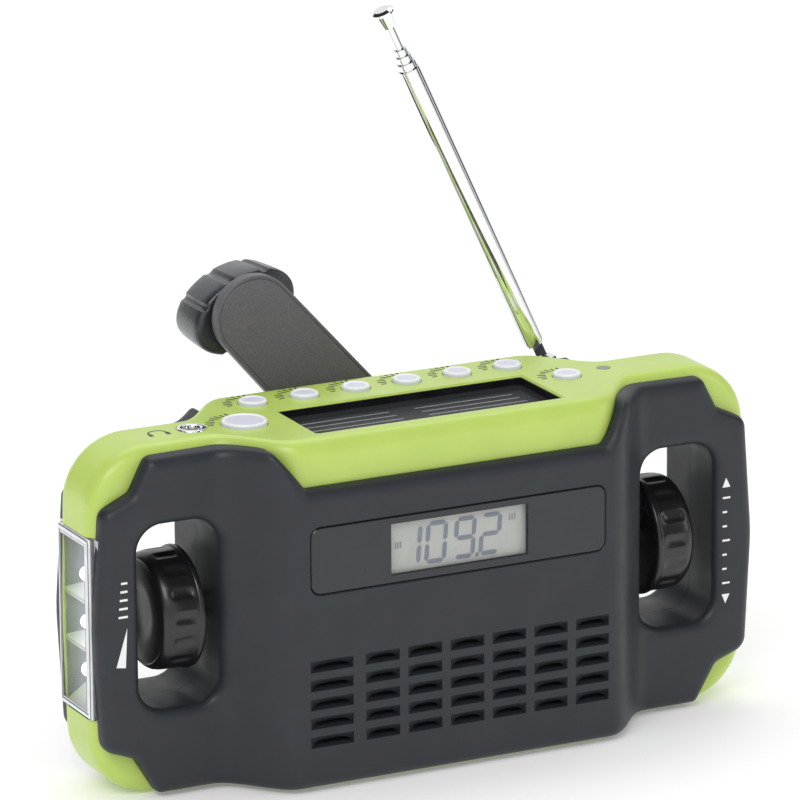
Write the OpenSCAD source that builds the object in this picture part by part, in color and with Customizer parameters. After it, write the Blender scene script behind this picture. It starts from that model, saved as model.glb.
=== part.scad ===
// Emergency radio: a green ring housing between two dark covers, with a hand crank, a solar cell,
// a torch, two thumb wheels in the handle slots and a telescopic antenna.
// X runs to the right, Y to the back, Z up. The origin is the middle of the face it stands on.
// All lengths are millimetres and all angles are degrees.

/* [Body] */
// Half width of the body at mid height
body_half_w = 81.7; // [81.5:0.1:82]
// Height of the body
body_h = 79; // [79:0.5:80]
// Half depth of the dark covers over the centre block
cover_mid = 24.9; // [24.8:0.05:25]
// Half depth of the dark covers over the handle ears
cover_ear = 12.5; // [12.3:0.1:12.7]
// Half depth of the green housing at the centre block
green_mid = 21.5; // [21.4:0.05:21.6]
// Half depth of the green housing at the handle ears
green_ear = 8.5; // [8.4:0.05:8.6]
// Wall thickness of the deck
deck_wall = 2.4; // [2.2:0.1:2.5]

/* [Handle slots] */
// Inner edge of each slot, from the middle
slot_in = 52; // [51.8:0.1:52.2]
// Outer edge of each slot, from the middle
slot_out = 71.2; // [71:0.1:71.4]
// Lowest edge of each slot
slot_low = 20; // [19.8:0.1:20.2]
// Highest edge of each slot
slot_high = 62; // [61.8:0.1:62.2]
// Corner radius of each slot
slot_r = 6; // [5:0.5:6.5]

/* [Thumb wheels] */
// Radius of the wheels
wheel_r = 13.7; // [13:0.1:13.8]
// Height of the wheels' axis
wheel_z = 39.2; // [39:0.1:39.5]
// Number of finger flutes round a wheel
flutes = 15; // [12:1:18]

/* [Front] */
// Half width of the smoked display window
window_half_w = 36.2; // [36:0.1:36.5]
// Lower edge of the display window
window_low = 45.2; // [45:0.1:45.4]
// Upper edge of the display window
window_high = 60.5; // [60.3:0.1:60.7]
// Columns of grille slots, the first of them wider and apart
grille_columns = 7; // [4:1:7]
// Rows of grille slots
grille_rows = 5; // [4:1:5]

/* [Deck] */
// Half width of the solar opening
solar_half_w = 30.2; // [29.8:0.1:30.4]
// Front edge of the solar opening
solar_front = -16.1; // [-16.2:0.1:-16]
// Rear edge of the solar opening
solar_rear = 4.1; // [4:0.1:4.2]
// Radius of the small buttons
button_r = 3.15; // [3:0.05:3.2]
// Radius of the torch button
torch_button_r = 5.05; // [4.9:0.05:5.1]
// How far the buttons stand above the deck
button_proud = 0.9; // [0.8:0.1:1.1]

/* [Crank] */
// Distance between the hub's axis and the middle of the crank knob
crank_reach = 45.8; // [45.7:0.1:45.9]
// Half width of the crank arm at its round end
arm_half_w = 9.65; // [9.5:0.05:9.8]
// Thickness of the crank arm
arm_thick = 3; // [2.8:0.1:3]
// Length of the crank knob
knob_len = 14; // [13:0.5:14]
// Longest reach of the oval crank knob from its axis
knob_long = 13; // [12:0.1:13]
// Shortest reach of the oval crank knob from its axis
knob_short = 8.4; // [8:0.1:9]

/* [Gear train] */
// Gear module
gear_module = 0.6; // [0.6]
// Teeth of the gear on the crank spindle
drive_teeth = 38; // [38]
// Teeth of both small pinions
pinion_teeth = 12; // [12]
// Teeth of the large wheel on the idler
idler_teeth = 40; // [40]

/* [Antenna] */
// Lean of the antenna to the left, from upright
antenna_lean = 25; // [15:1:25]
// Length of the widest antenna tube
tube_len = 74.3; // [70:0.1:75]
// Radius of the widest antenna tube
tube_r = 2.5; // [2.4:0.05:2.5]

/* [Hidden] */
$fn = 64;

// Gaps: seam between bonded shells, running fit of turning and sliding parts, visible clearance
seam = 0.05;
fit = 0.05;
gap = 0.3;

// Colours
green = [0.72, 0.84, 0.35];
anthracite = [0.2, 0.22, 0.25];
near_black = [0.06, 0.06, 0.07];
light_grey = [0.85, 0.85, 0.9];
chrome = [0.8, 0.8, 0.82];
board_green = [0.1, 0.4, 0.2];
brass = [0.8, 0.65, 0.3];

// Plan of the shells: the half depth falls from the centre block to the ears along a cosine wave
green_wave = [36.5, 52.5];
cover_wave = [38, 54];
function wave(x, from, to) = (1 - cos(180 * min(1, max(0, (abs(x) - from) / (to - from))))) / 2;
function green_depth(x) = green_mid - (green_mid - green_ear) * wave(x, green_wave[0], green_wave[1]);
function cover_depth(x) = cover_mid - (cover_mid - cover_ear) * wave(x, cover_wave[0], cover_wave[1]);
wave_steps = 8;
function stations(w) = [for (i = [0:wave_steps]) w[0] + (w[1] - w[0]) * i / wave_steps];
function mirrored(xs) = concat([for (i = [len(xs) - 1:-1:0]) -xs[i]], xs);
plan_end = 90;

// A closed outline with a round of its own at each corner: corners are [x, y, radius]
function unit(v) = v / norm(v);
function corner_arc(a, b, c, r, steps) =
    let (u = unit([a[0] - b[0], a[1] - b[1]]), v = unit([c[0] - b[0], c[1] - b[1]]),
        half = acos(max(-1, min(1, u * v))) / 2,
        centre = [b[0], b[1]] + unit(u + v) * r / sin(half),
        p = [b[0], b[1]] + u * r / tan(half) - centre,
        q = [b[0], b[1]] + v * r / tan(half) - centre,
        from = atan2(p[1], p[0]),
        turn = atan2(p[0] * q[1] - p[1] * q[0], p * q))
    [for (i = [0:steps]) centre + r * [cos(from + turn * i / steps), sin(from + turn * i / steps)]];
function rounded(corners, steps = 5) =
    let (n = len(corners))
    [for (i = [0:n - 1])
        each (corners[i][2] == 0 ? [[corners[i][0], corners[i][1]]]
            : corner_arc(corners[(i + n - 1) % n], corners[i], corners[(i + 1) % n], corners[i][2], steps))];
function both_sides(right) = concat(right, [for (i = [len(right) - 1:-1:0])
    [-right[i][0], right[i][1], right[i][2]]]);

// Elevation of the green ring
green_side = 81;
green_corner = 14.5;
// Right half of the covers' elevation, from the bottom up to the notch: [x, z, radius]
cover_corners = [[67, 0.7, 2], [72.2, 9.4, 2.5], [79.8, 12.2, 4], [81.2, 39.5, 60], [79.3, 66.2, 3],
    [72.1, 69.6, 2.5], [68.2, 77.2, 2.5], [43, 77.6, 2.5], [36.4, 68.9, 1.5]];

// Main cavity: half depth at stations along X
cavity_floor = 2.2;
deck_z = body_h - deck_wall;
cavity_plan = [[37, 19.5], [40.5, 16.8], [44.5, 12.6], [48, 8.4]];

// Slot lips, moulded on the covers, meet in the middle of the slot
lip = 1.4;

// Display
window_deep = 1.25;
lcd_half_w = 17.2;
lcd_low = 46.7;
lcd_high = 59.2;

// Grille
grille_left = -36.6;
grille_low = 10.4;
grille_pitch = [10.38, 4.33];
grille_slot = [8.3, 2.6];
first_slot_w = 10.4;
first_pitch = 13.4;
function slot_left(c) = grille_left + (c == 0 ? 0 : first_pitch + (c - 1) * grille_pitch[0]);
function slot_wide(c) = c == 0 ? first_slot_w : grille_slot[0];

// Torch in the left ear
torch_low = 18.5;
torch_high = 60;
torch_back = -74.1;
torch_led_z = [49.7, 38.8, 27.9];

// Speaker
speaker_z = 21;
speaker_r = 18;

// Buttons: [x, y, radius]
row_y = 11.9;
row_x = -32.3;
row_pitch = 12.63;
torch_button_at = [-40.8, -1.7, torch_button_r];
band_button_at = [39.1, -1, button_r];
function row_button(i) = [row_x + i * row_pitch, row_y, button_r];
button_spots = concat([torch_button_at, band_button_at], [for (i = [0:5]) row_button(i)]);
button_top = body_h + button_proud;
button_flange = 0.65;
board_top = 72.4;
socket_at = [-52.6, 0.1];
socket_bore_r = 1.8;
led_at = [49.5, 1];

// Crank: u points from the hub to the knob in the plane of the arm
hub = [6.7, 59];
crank_angle = 131.35;
hinge_reach = 6;
hinge_y = 27.4;
arm_front = 28;
fold_reach = crank_reach - 2 * hinge_reach;
pocket_at = hub - fold_reach * [cos(crank_angle), sin(crank_angle)];
pocket_r = knob_long + 0.4;
pocket_deep = 7.2;
pocket_wall = 1.4;
hub_disc_r = 9.3;
hub_boss_r = 11;
knob_front = 33.1;

// Gear train, from the crank spindle to the dynamo
function pitch_r(teeth) = gear_module * teeth / 2;
idler_dir = 200;
dynamo_dir = 180;
idler_at = hub + (pitch_r(drive_teeth) + pitch_r(pinion_teeth)) * [cos(idler_dir), sin(idler_dir)];
dynamo_at = idler_at
    + (pitch_r(idler_teeth) + pitch_r(pinion_teeth)) * [cos(dynamo_dir), sin(dynamo_dir)];
spindle_r = 3;
pin_r = 1.2;

// Antenna
antenna_at = [46.7, 24.3, 74];
ledge_z = 71.2;
tube_start = 6.2;
tube_radii = [tube_r, 2.1, 1.72, 1.36];
tube_bores = [2.15, 1.77, 1.41, 1.0];
tube_step = 1.7;

// Battery compartment behind the rear door
door_half = [23, 17];
door_at = [-11.6, 21];
cell_r = 5.1;
cell_pitch = 10.5;
dc_at = [20, 11];
dc_bore_r = 2.2;

screw_spots = [for (x = [-64, 64], z = [12, 70]) [x, z]];

// --- Helpers ---

// Extrudes an X-Z outline along Y
module along_y(y0, y1) {
    translate([0, y1, 0]) rotate([90, 0, 0]) linear_extrude(y1 - y0) children();
}

// Extrudes a Y-Z outline along X
module along_x(x0, x1) {
    translate([x0, 0, 0]) rotate([90, 0, 90]) linear_extrude(x1 - x0) children();
}

// A round bar along Y at [x, z]
module bar_y(at, y0, y1, r) {
    along_y(y0, y1) translate(at) circle(r);
}

// A block from its lowest and highest corners
module block(low, high) {
    translate(low) cube(high - low);
}

// The crank's own frame: X along the arm, Z to the back, origin on the hub's axis
module crank_frame() {
    translate([hub[0], 0, hub[1]]) rotate([0, -crank_angle, 0]) rotate([-90, 0, 0]) children();
}

// The antenna's own frame: Z along the tubes, Y to the back, origin on the hinge pin
module antenna_frame() {
    translate(antenna_at) rotate([0, -antenna_lean, 0]) children();
}

module slot_outline(grow = 0) {
    polygon(rounded([[slot_in - grow, slot_low - grow, slot_r + grow],
        [slot_out + grow, slot_low - grow, slot_r + grow],
        [slot_out + grow, slot_high + grow, slot_r + grow],
        [slot_in - grow, slot_high + grow, slot_r + grow]]));
}

module both_slots(grow = 0) {
    slot_outline(grow);
    mirror([1, 0]) slot_outline(grow);
}

// Elevation of the green ring: a rounded rectangle whose ends swell a little
module green_elevation() {
    crown = green_side + (body_half_w - green_side) * 1.17;
    right = [[green_side - 0.43, 0, green_corner], [crown, body_h / 2, 400],
        [green_side - 0.43, body_h, green_corner]];
    polygon(rounded(both_sides(right), 8));
}

module green_plan() {
    xs = mirrored(stations(green_wave));
    polygon(concat([[-plan_end, -green_ear]], [for (x = xs) [x, -green_depth(x)]],
        [[plan_end, -green_ear], [plan_end, green_ear]],
        [for (i = [len(xs) - 1:-1:0]) [xs[i], green_depth(xs[i])]], [[-plan_end, green_ear]]));
}

// Front half of the covers' plan, between the green housing and the covers' own face
module cover_plan() {
    outer = mirrored(stations(cover_wave));
    inner = mirrored(stations(green_wave));
    polygon(concat([[-plan_end, -cover_ear]], [for (x = outer) [x, -cover_depth(x)]],
        [[plan_end, -cover_ear], [plan_end, -green_ear - seam]],
        [for (i = [len(inner) - 1:-1:0]) [inner[i], -green_depth(inner[i]) - seam]],
        [[-plan_end, -green_ear - seam]]));
}

// A plain cover, before its own openings: slab that follows the plan, and the two slot lips
module cover_slab() {
    intersection() {
        linear_extrude(body_h) cover_plan();
        along_y(-30, 0) polygon(rounded(both_sides(cover_corners)));
    }
    along_y(-cover_ear + 1, -seam)
        difference() {
            both_slots(lip);
            both_slots();
        }
}

// Holes that both covers have: the slots and the shafts of the thumb wheels
module cover_cuts() {
    along_y(-30, 30) both_slots();
    along_x(-60, 60) translate([0, wheel_z]) circle(spindle_r + 0.2);
}

// --- Shells ---

module centre_housing() {
    slot_grow = lip + 0.1;
    well = 1.6;
    well_floor = 74.2;
    color(green) difference() {
        intersection() {
            linear_extrude(body_h) green_plan();
            along_y(-30, 30) green_elevation();
        }
        difference() {
            translate([0, 0, cavity_floor]) linear_extrude(deck_z - cavity_floor)
                polygon(concat([for (i = [0:3]) cavity_plan[i]],
                    [for (i = [3:-1:0]) [cavity_plan[i][0], -cavity_plan[i][1]]],
                    [for (i = [0:3]) [-cavity_plan[i][0], -cavity_plan[i][1]]],
                    [for (i = [3:-1:0]) [-cavity_plan[i][0], cavity_plan[i][1]]]));
            block([-solar_half_w - well, solar_front - well, well_floor - 1],
                [solar_half_w + well, solar_rear + well, body_h]);
        }
        // well of the solar cell
        block([-solar_half_w, solar_front, well_floor], [solar_half_w, solar_rear, body_h + 1]);
        // handle slots, with room for the covers' lips
        along_y(-30, 30) both_slots(slot_grow);
        // openings behind the display, the speaker and the rear cover
        along_y(-30, -15) translate([-35.5, 44]) square([71, 17.5]);
        along_y(-30, -15) translate([-37.2, 8.6]) square([74.4, 26.4]);
        along_y(15, 30) translate([-36.4, 3]) square([72.8, 64]);
        // room for the rear cover's hub boss and for the cup of its knob pocket
        bar_y(hub, 15, 30, hub_boss_r + 0.1);
        bar_y(pocket_at, 5, 30, pocket_r + pocket_wall + 0.1);
        // thumb wheel shafts
        along_x(-60, 60) translate([0, wheel_z]) circle(spindle_r + 0.2);
        // room below the headphone socket and the charge light
        for (x = [-1, 1]) block([x * 52 - 6, -6.3, 65.6], [x * 52 + 6, 6.3, deck_z]);
        translate([socket_at[0], socket_at[1], 70]) cylinder(r = 3.05, h = 12);
        translate([socket_at[0], socket_at[1], body_h - 0.5]) cylinder(r = 3.35, h = 2);
        translate([led_at[0], led_at[1], 70]) cylinder(r = 1.5, h = 12);
        // button holes
        for (b = button_spots) translate([b[0], b[1], 70]) cylinder(r = b[2] + 0.1, h = 12);
        // torch chamber
        block([-body_half_w - 1, -10, torch_low], [torch_back, 10, torch_high]);
        for (s = screw_spots) bar_y(s, -15, 15, 1.5);
    }
}

module front_cover() {
    color(anthracite) difference() {
        cover_slab();
        cover_cuts();
        // window recess, and the opening that shows the panel behind it
        along_y(-30, -cover_mid + window_deep + seam)
            polygon(rounded([[-window_half_w, window_low, 2.3], [window_half_w, window_low, 2.3],
                [window_half_w, window_high, 2.3], [-window_half_w, window_high, 2.3]]));
        along_y(-30, -15) translate([-lcd_half_w - 0.2, lcd_low - 0.2])
            square([2 * lcd_half_w + 0.4, lcd_high - lcd_low + 0.4]);
        // speaker grille
        for (c = [0:grille_columns - 1], r = [0:grille_rows - 1])
            along_y(-30, -15) translate([slot_left(c), grille_low + r * grille_pitch[1]])
                square([slot_wide(c), grille_slot[1]]);
        for (s = screw_spots) bar_y(s, -10.6, 0, 1.25);
    }
}

module rear_cover() {
    color(anthracite) difference() {
        union() {
            mirror([0, 1, 0]) cover_slab();
            // bearing of the crank spindle, seat of the hub and cup of the knob pocket
            bar_y(hub, 19.4, 21.65, hub_boss_r);
            bar_y(hub, 18.2, 20, 6);
            bar_y(idler_at, 17.95, 22, 3);
            bar_y(pocket_at, 6, 22, pocket_r + pocket_wall);
            // block that carries the antenna, with its foot inside the cover's own wall
            translate([antenna_at[0], 0, 66]) linear_extrude(10.4)
                polygon([[-3.6, 18.5], [3.6, 11.5], [3.6, 20.6], [-3.6, 20.6]]);
        }
        cover_cuts();
        bar_y(hub, 10, 30, spindle_r + fit);
        bar_y(hub, 21.9, 30, hub_disc_r + gap);
        bar_y(idler_at, 17, 20.6, pin_r + fit);
        bar_y(pocket_at, pocket_deep, 30, pocket_r);
        // channel of the stored arm
        crank_frame() translate([-fold_reach, -arm_half_w - 1, 23.5])
            cube([fold_reach + 3, 2 * arm_half_w + 2, 5]);
        bar_y(pocket_at, 23.5, 30, arm_half_w + 1);
        // ledge of the stored antenna
        block([-52, antenna_at[1] - 3, ledge_z], [42.6, 30, body_h]);
        bar_y([antenna_at[0], antenna_at[2]], 15, 21, 1.8 + fit);
        bar_y([antenna_at[0], antenna_at[2]], 20.6, 30, 3.6);
        // battery opening, with a rim that carries the door
        along_y(15, 30) translate(door_at - door_half + [1.2, 1.2]) square(2 * door_half - [2.4, 2.4]);
        along_y(23.4, 30) translate(door_at - door_half) square(2 * door_half);
        bar_y(dc_at, 15, 30, 3.1);
        for (s = screw_spots) {
            bar_y(s, 5, 30, 1.5);
            bar_y(s, 9.6, 30, 2.6);
        }
    }
}

module battery_door() {
    inner = door_half - [1.5, 1.5];
    color(anthracite) difference() {
        union() {
            along_y(23.5, cover_mid) translate(door_at - door_half + [0.3, 0.3])
                square(2 * door_half - [0.6, 0.6]);
            along_y(22.9, 23.6) translate(door_at - inner) square(2 * inner);
        }
        // finger notch
        along_y(24.2, 30) translate(door_at + [-6, door_half[1] - 4.5]) square([12, 2.4]);
    }
}

module case_screws() {
    color(chrome)
        for (s = screw_spots)
            difference() {
                union() {
                    bar_y(s, -10.4, 9.8, 1.2);
                    bar_y(s, 9.65, 11, 2.3);
                }
                along_y(10.3, 12) translate(s) square([2.6, 0.6], center = true);
                along_y(10.3, 12) translate(s) square([0.6, 2.6], center = true);
            }
}

// --- Display ---

module display_window() {
    play = 0.15;
    half_w = window_half_w - play;
    color([0.25, 0.27, 0.3, 0.6]) along_y(-cover_mid + 0.02, -cover_mid + window_deep)
        polygon(rounded([[-half_w, window_low + play, 2.2], [half_w, window_low + play, 2.2],
            [half_w, window_high - play, 2.2], [-half_w, window_high - play, 2.2]]));
}

module lcd_panel() {
    color([0.78, 0.78, 0.78])
        block([-lcd_half_w, -23.4, lcd_low], [lcd_half_w, -21.9, lcd_high]);
}

module lcd_backlight() {
    color([0.95, 0.95, 0.9])
        block([-lcd_half_w + 0.2, -21.8, lcd_low + 0.2], [lcd_half_w - 0.2, -20.2, lcd_high - 0.2]);
}

module lcd_holder() {
    color([0.9, 0.9, 0.88]) difference() {
        block([-24, -20.1, 44.6], [24, -18.3, 61]);
        block([-14, -21, 49], [14, -17, 57]);
        for (x = [-20.5, 20.5], z = [47.5, 58]) bar_y([x, z], -21, -17, 1);
    }
}

// --- Deck ---

module solar_window() {
    color([0.8, 0.85, 0.9, 0.3])
        block([-solar_half_w + 0.15, solar_front + 0.15, 75.75], [solar_half_w - 0.15, solar_rear - 0.15, 77]);
}

module solar_cell() {
    color(near_black)
        block([-solar_half_w + 0.3, solar_front + 0.3, 74.25], [solar_half_w - 0.3, solar_rear - 0.3, 75.65]);
}

// A push button: crowned cap, flange below the deck and stem over its switch
module push_button(at) {
    rim = 0.4;
    stem_low = 74.75;
    color(light_grey) translate([at[0], at[1], 0]) rotate_extrude()
        polygon([[0, stem_low], [1.3, stem_low], [1.3, 75.9], [at[2] + 0.9, 75.9],
            [at[2] + 0.9, 75.9 + button_flange], [at[2], 75.9 + button_flange],
            [at[2], button_top - rim], [at[2] - rim, button_top], [0, button_top]]);
}

module torch_button() push_button(torch_button_at);
module alarm_set_button() push_button(row_button(0));
module time_set_button() push_button(row_button(1));
module alarm_button() push_button(row_button(2));
module hour_button() push_button(row_button(3));
module minute_button() push_button(row_button(4));
module light_button() push_button(row_button(5));
module band_button() push_button(band_button_at);

module button_board() {
    color(board_green) difference() {
        translate([0, 0, board_top - 1]) linear_extrude(1) {
            translate([-36, -12]) square([72, 28.8]);
            translate([-46, -7]) square([92, 15]);
        }
        for (x = [-22, 22]) translate([x, -8, 70]) cylinder(r = 1.2, h = 4);
    }
}

module tact_switches() {
    color(near_black)
        for (b = button_spots) {
            block([b[0] - 2.2, b[1] - 2.2, board_top], [b[0] + 2.2, b[1] + 2.2, board_top + 1.2]);
            translate([b[0], b[1], board_top + 1]) cylinder(r = 1.1, h = 0.6);
        }
}

module headphone_socket() {
    color([0.93, 0.93, 0.93]) translate([socket_at[0], socket_at[1], 0]) difference() {
        union() {
            translate([0, 0, 66]) cylinder(r = 3, h = 13);
            translate([0, 0, body_h - 0.5]) cylinder(r = 3.3, h = 0.7);
        }
        translate([0, 0, 67.2]) cylinder(r = socket_bore_r, h = 13);
    }
}

module charge_led() {
    color(near_black) translate([led_at[0], led_at[1], 0]) {
        translate([0, 0, 74]) cylinder(r = 1.45, h = body_h - 74 - 0.05);
        translate([0, 0, 73]) cylinder(r = 2, h = 1.2);
    }
}

// --- Torch ---

module torch_lens() {
    color([0.85, 0.88, 0.9, 0.35]) intersection() {
        along_y(-green_ear + 0.2, green_ear - 0.2) green_elevation();
        block([-body_half_w - 1, -10, torch_low + 0.1], [-79.9, 10, torch_high - 0.1]);
    }
}

module torch_reflector() {
    face = -79.7;
    back = -75.7;
    color(chrome) difference() {
        block([face, -8.2, torch_low + 0.2], [back, 8.2, torch_high - 0.2]);
        for (z = torch_led_z)
            translate([face - 0.01, 0, z]) rotate([0, 90, 0]) cylinder(r1 = 5.1, r2 = 2.1, h = 5);
    }
}

module torch_leds() {
    color([0.95, 0.95, 0.98])
        for (z = torch_led_z) translate([-75.4, 0, z]) rotate([0, -90, 0]) {
            cylinder(r = 1.7, h = 2.6);
            translate([0, 0, 2.6]) sphere(1.7);
        }
}

module torch_board() {
    color(board_green) block([-75.4, -7.8, torch_low + 1], [-74.3, 7.8, torch_high - 1]);
}

// --- Electronics ---

module main_board() {
    color(board_green) difference() {
        block([-43, 2, 4], [43, 3.6, 31]);
        for (x = [-39, 39], z = [7, 28]) bar_y([x, z], 0, 6, 1.3);
    }
}

module board_chips() {
    color(near_black) {
        block([-6, 0.2, 12], [8, 1.95, 22]);
        block([-30, 0.6, 10], [-20, 1.95, 16]);
        block([18, -2.2, 8], [28, 1.95, 18]);
        for (x = [-34, 32]) translate([x, 0, 24]) rotate([90, 0, 0]) translate([0, 0, -1.95])
            cylinder(r = 2.6, h = 5);
    }
}

module speaker_frame() {
    color(chrome) translate([0, 0, speaker_z]) rotate([90, 0, 0]) rotate_extrude()
        polygon([[speaker_r - 2.2, 18.4], [speaker_r - 0.4, 18.4], [speaker_r - 0.4, 19.4],
            [speaker_r - 3, 19.4], [speaker_r - 3.6, 17.2], [9.4, 11.2], [4, 11.2], [4, 10.2],
            [10, 10.2]]);
}

module speaker_cone() {
    color([0.12, 0.12, 0.13]) translate([0, 0, speaker_z]) rotate([90, 0, 0]) rotate_extrude()
        polygon([[0, 15.6], [4, 14.6], [speaker_r - 4.2, 18.6], [speaker_r - 4.2, 19.2], [4.4, 15.4],
            [2.4, 16.9], [0, 17.4]]);
}

module speaker_magnet() {
    color([0.3, 0.3, 0.32]) bar_y([0, speaker_z], -10.15, -5, 9);
}

// Woven screen that keeps dust out of the speaker, behind the grille
module dust_screen() {
    color(near_black) block([-36.9, -21.4, 8.9], [36.9, -20.9, 34.7]);
}

module battery_tray() {
    low = [door_at[0] - 24.6, 9.9, 3.2];
    high = [door_at[0] + 24.6, 21.3, 38.6];
    color(near_black) difference() {
        block(low, high);
        block(low + [1.2, 1, 1.2], high + [-1.2, 1, -1.2]);
    }
}

module battery_cells() {
    color([0.55, 0.75, 0.35])
        for (i = [-1:1]) translate([door_at[0] - 22.6, 16.1, door_at[1] + i * cell_pitch]) rotate([0, 90, 0]) {
            cylinder(r = cell_r, h = 43.8);
            translate([0, 0, 43.8]) cylinder(r = 1.9, h = 0.8);
        }
}

// Power input: a round socket with its centre pin, flush in the rear cover
module dc_socket() {
    color(near_black) difference() {
        union() {
            bar_y(dc_at, 15, 24.4, 3);
            block([dc_at[0] - 3.6, 12, dc_at[1] - 3.6], [dc_at[0] + 3.6, 21.3, dc_at[1] + 3.6]);
        }
        bar_y(dc_at, 14, 30, dc_bore_r);
    }
    color(brass) {
        bar_y(dc_at, 12.5, 22, 0.8);
        bar_y(dc_at, 12.2, 14.2, dc_bore_r);
    }
}

// Rotary control on the inner side of the housing's flank, with a bush for its shaft
module rotary_control(side) {
    color([0.5, 0.5, 0.52]) difference() {
        union() {
            block([min(side * 47.8, side * 40), -5.6, wheel_z - 6.5],
                [max(side * 47.8, side * 40), 5.6, wheel_z + 6]);
            along_x(min(side * 40.5, side * 38), max(side * 40.5, side * 38))
                translate([0, wheel_z]) circle(4.6);
        }
        along_x(-60, 60) translate([0, wheel_z]) circle(spindle_r + fit);
    }
}

module volume_control() rotary_control(-1);
module tuning_control() rotary_control(1);

// --- Thumb wheels ---

// A fluted wheel with a lip at each side of its grip, on the right; the left one is its mirror
module thumb_wheel() {
    lip_w = 1.2;
    face = 66;
    back = 55.6;
    flute_r = 1.5;
    color(near_black) difference() {
        translate([0, 0, wheel_z]) rotate([0, 90, 0]) rotate_extrude()
            polygon([[spindle_r, back], [wheel_r - 1.2, back], [wheel_r, back + 0.8],
                [wheel_r, back + lip_w + 0.3], [wheel_r - 0.35, back + lip_w + 0.6],
                [wheel_r - 0.35, face - lip_w - 1.6], [wheel_r, face - lip_w - 1.3],
                [wheel_r - 0.3, face - 1.2], [wheel_r - 1.8, face - 0.3], [wheel_r - 2.4, face],
                [8.2, face - 0.5], [7.8, face - 1], [4.6, face - 1], [4.2, face - 0.4], [0, face - 0.4],
                [0, face - 2], [spindle_r, face - 2]]);
        for (i = [0:flutes - 1])
            translate([0, 0, wheel_z]) rotate([360 / flutes * i, 0, 0])
                translate([back + 2.6, 0, wheel_r + 0.65]) rotate([0, 90, 0])
                    cylinder(r = flute_r, h = face - back - 5.8, $fn = 24);
    }
}

module wheel_shaft() {
    color(chrome) along_x(38.5, 63.9) translate([0, wheel_z]) circle(spindle_r - 0.02);
}

module tuning_wheel() thumb_wheel();
module tuning_shaft() wheel_shaft();
module volume_wheel() mirror([1, 0, 0]) thumb_wheel();
module volume_shaft() mirror([1, 0, 0]) wheel_shaft();

// --- Gear train ---

// Outline of an involute gear with stub teeth; a tooth stands at the angle called phase
pressure = 25;
backlash = 0.12;
function involute(r, base) = r <= base ? 0 : let (a = acos(base / r)) tan(a) * 180 / PI - a;
function gear_outline(teeth, phase) =
    let (rp = pitch_r(teeth), base = rp * cos(pressure), tip = rp + 0.8 * gear_module,
        root = rp - gear_module, half = 90 / teeth - backlash / rp * 90 / PI,
        radii = [root, rp, tip],
        halves = [for (r = radii) half + involute(rp, base) - involute(r, base)])
    [for (i = [0:teeth - 1], k = [0:5])
        let (j = k < 3 ? k : 5 - k, a = phase + 360 * i / teeth + (k < 3 ? -1 : 1) * halves[j])
        radii[j] * [cos(a), sin(a)]];

module drive_gear() {
    color([0.9, 0.9, 0.85]) along_y(14.6, 17.6) translate(hub) difference() {
        polygon(gear_outline(drive_teeth, idler_dir));
        circle(spindle_r + 0.02);
        for (a = [0:60:300]) rotate(a) translate([7, 0]) circle(1.6);
    }
}

module idler_gear() {
    color([0.9, 0.9, 0.85]) {
        along_y(14.4, 17.7) translate(idler_at)
            polygon(gear_outline(pinion_teeth, idler_dir + 180 + 180 / pinion_teeth));
        along_y(10.9, 13.5) translate(idler_at) polygon(gear_outline(idler_teeth, dynamo_dir));
        bar_y(idler_at, 13.4, 14.5, 2.6);
        bar_y(idler_at, 8.3, 20.4, pin_r);
    }
}

module dynamo_gear() {
    color(brass) along_y(10.7, 13.7) translate(dynamo_at)
        polygon(gear_outline(pinion_teeth, dynamo_dir + 180 + 180 / pinion_teeth));
    color(chrome) bar_y(dynamo_at, 2, 13, pin_r);
}

module dynamo_body() {
    color([0.6, 0.6, 0.63]) difference() {
        union() {
            bar_y(dynamo_at, -6, 7.6, 12.3);
            bar_y(dynamo_at, 7.5, 8.1, 4);
        }
        bar_y(dynamo_at, 1.5, 12, pin_r + fit);
    }
}

module gearbox_plate() {
    color(chrome) difference() {
        along_y(8.2, 9.7) polygon(rounded([[-37, 42, 3], [14, 42, 3], [17, 50, 3], [17, 70, 3],
            [-37, 70, 3]]));
        bar_y(hub, 0, 12, 2 + fit);
        bar_y(idler_at, 0, 12, pin_r + fit);
        bar_y(dynamo_at, 0, 12, pin_r + 0.2);
        for (s = [[-33, 66.5], [13, 66.5], [-33, 45]]) bar_y(s, 0, 12, 1.3);
    }
}

module crank_spindle() {
    color(chrome) {
        bar_y(hub, 8.3, 14.3, 2);
        bar_y(hub, 14.2, 22, spindle_r);
        bar_y(hub, 21.9, 23.3, 2.4);
    }
}

// --- Crank ---

lug_r = 2.1;
lug_in = 2.6;
lug_out = 4.4;

// Turning disc with the two lugs that carry the arm's hinge
module crank_hub() {
    color(anthracite) difference() {
        union() {
            bar_y(hub, 22.05, 23.4, hub_disc_r);
            crank_frame() for (side = [-1, 1]) {
                translate([hinge_reach, side * (lug_in + lug_out) / 2, hinge_y]) rotate([90, 0, 0])
                    cylinder(r = lug_r, h = lug_out - lug_in, center = true);
                translate([hinge_reach - lug_r, side > 0 ? lug_in : -lug_out, 23.3])
                    cube([2 * lug_r, lug_out - lug_in, hinge_y - 23.3]);
            }
        }
        bar_y(hub, 20, 30, 2.43);
        crank_frame() translate([hinge_reach, 0, hinge_y]) rotate([90, 0, 0])
            cylinder(r = 0.82, h = 20, center = true);
    }
}

module crank_hinge_pin() {
    color(chrome) crank_frame() translate([hinge_reach, 0, hinge_y]) rotate([90, 0, 0])
        cylinder(r = 0.8, h = 2 * lug_out - 0.2, center = true);
}

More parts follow.
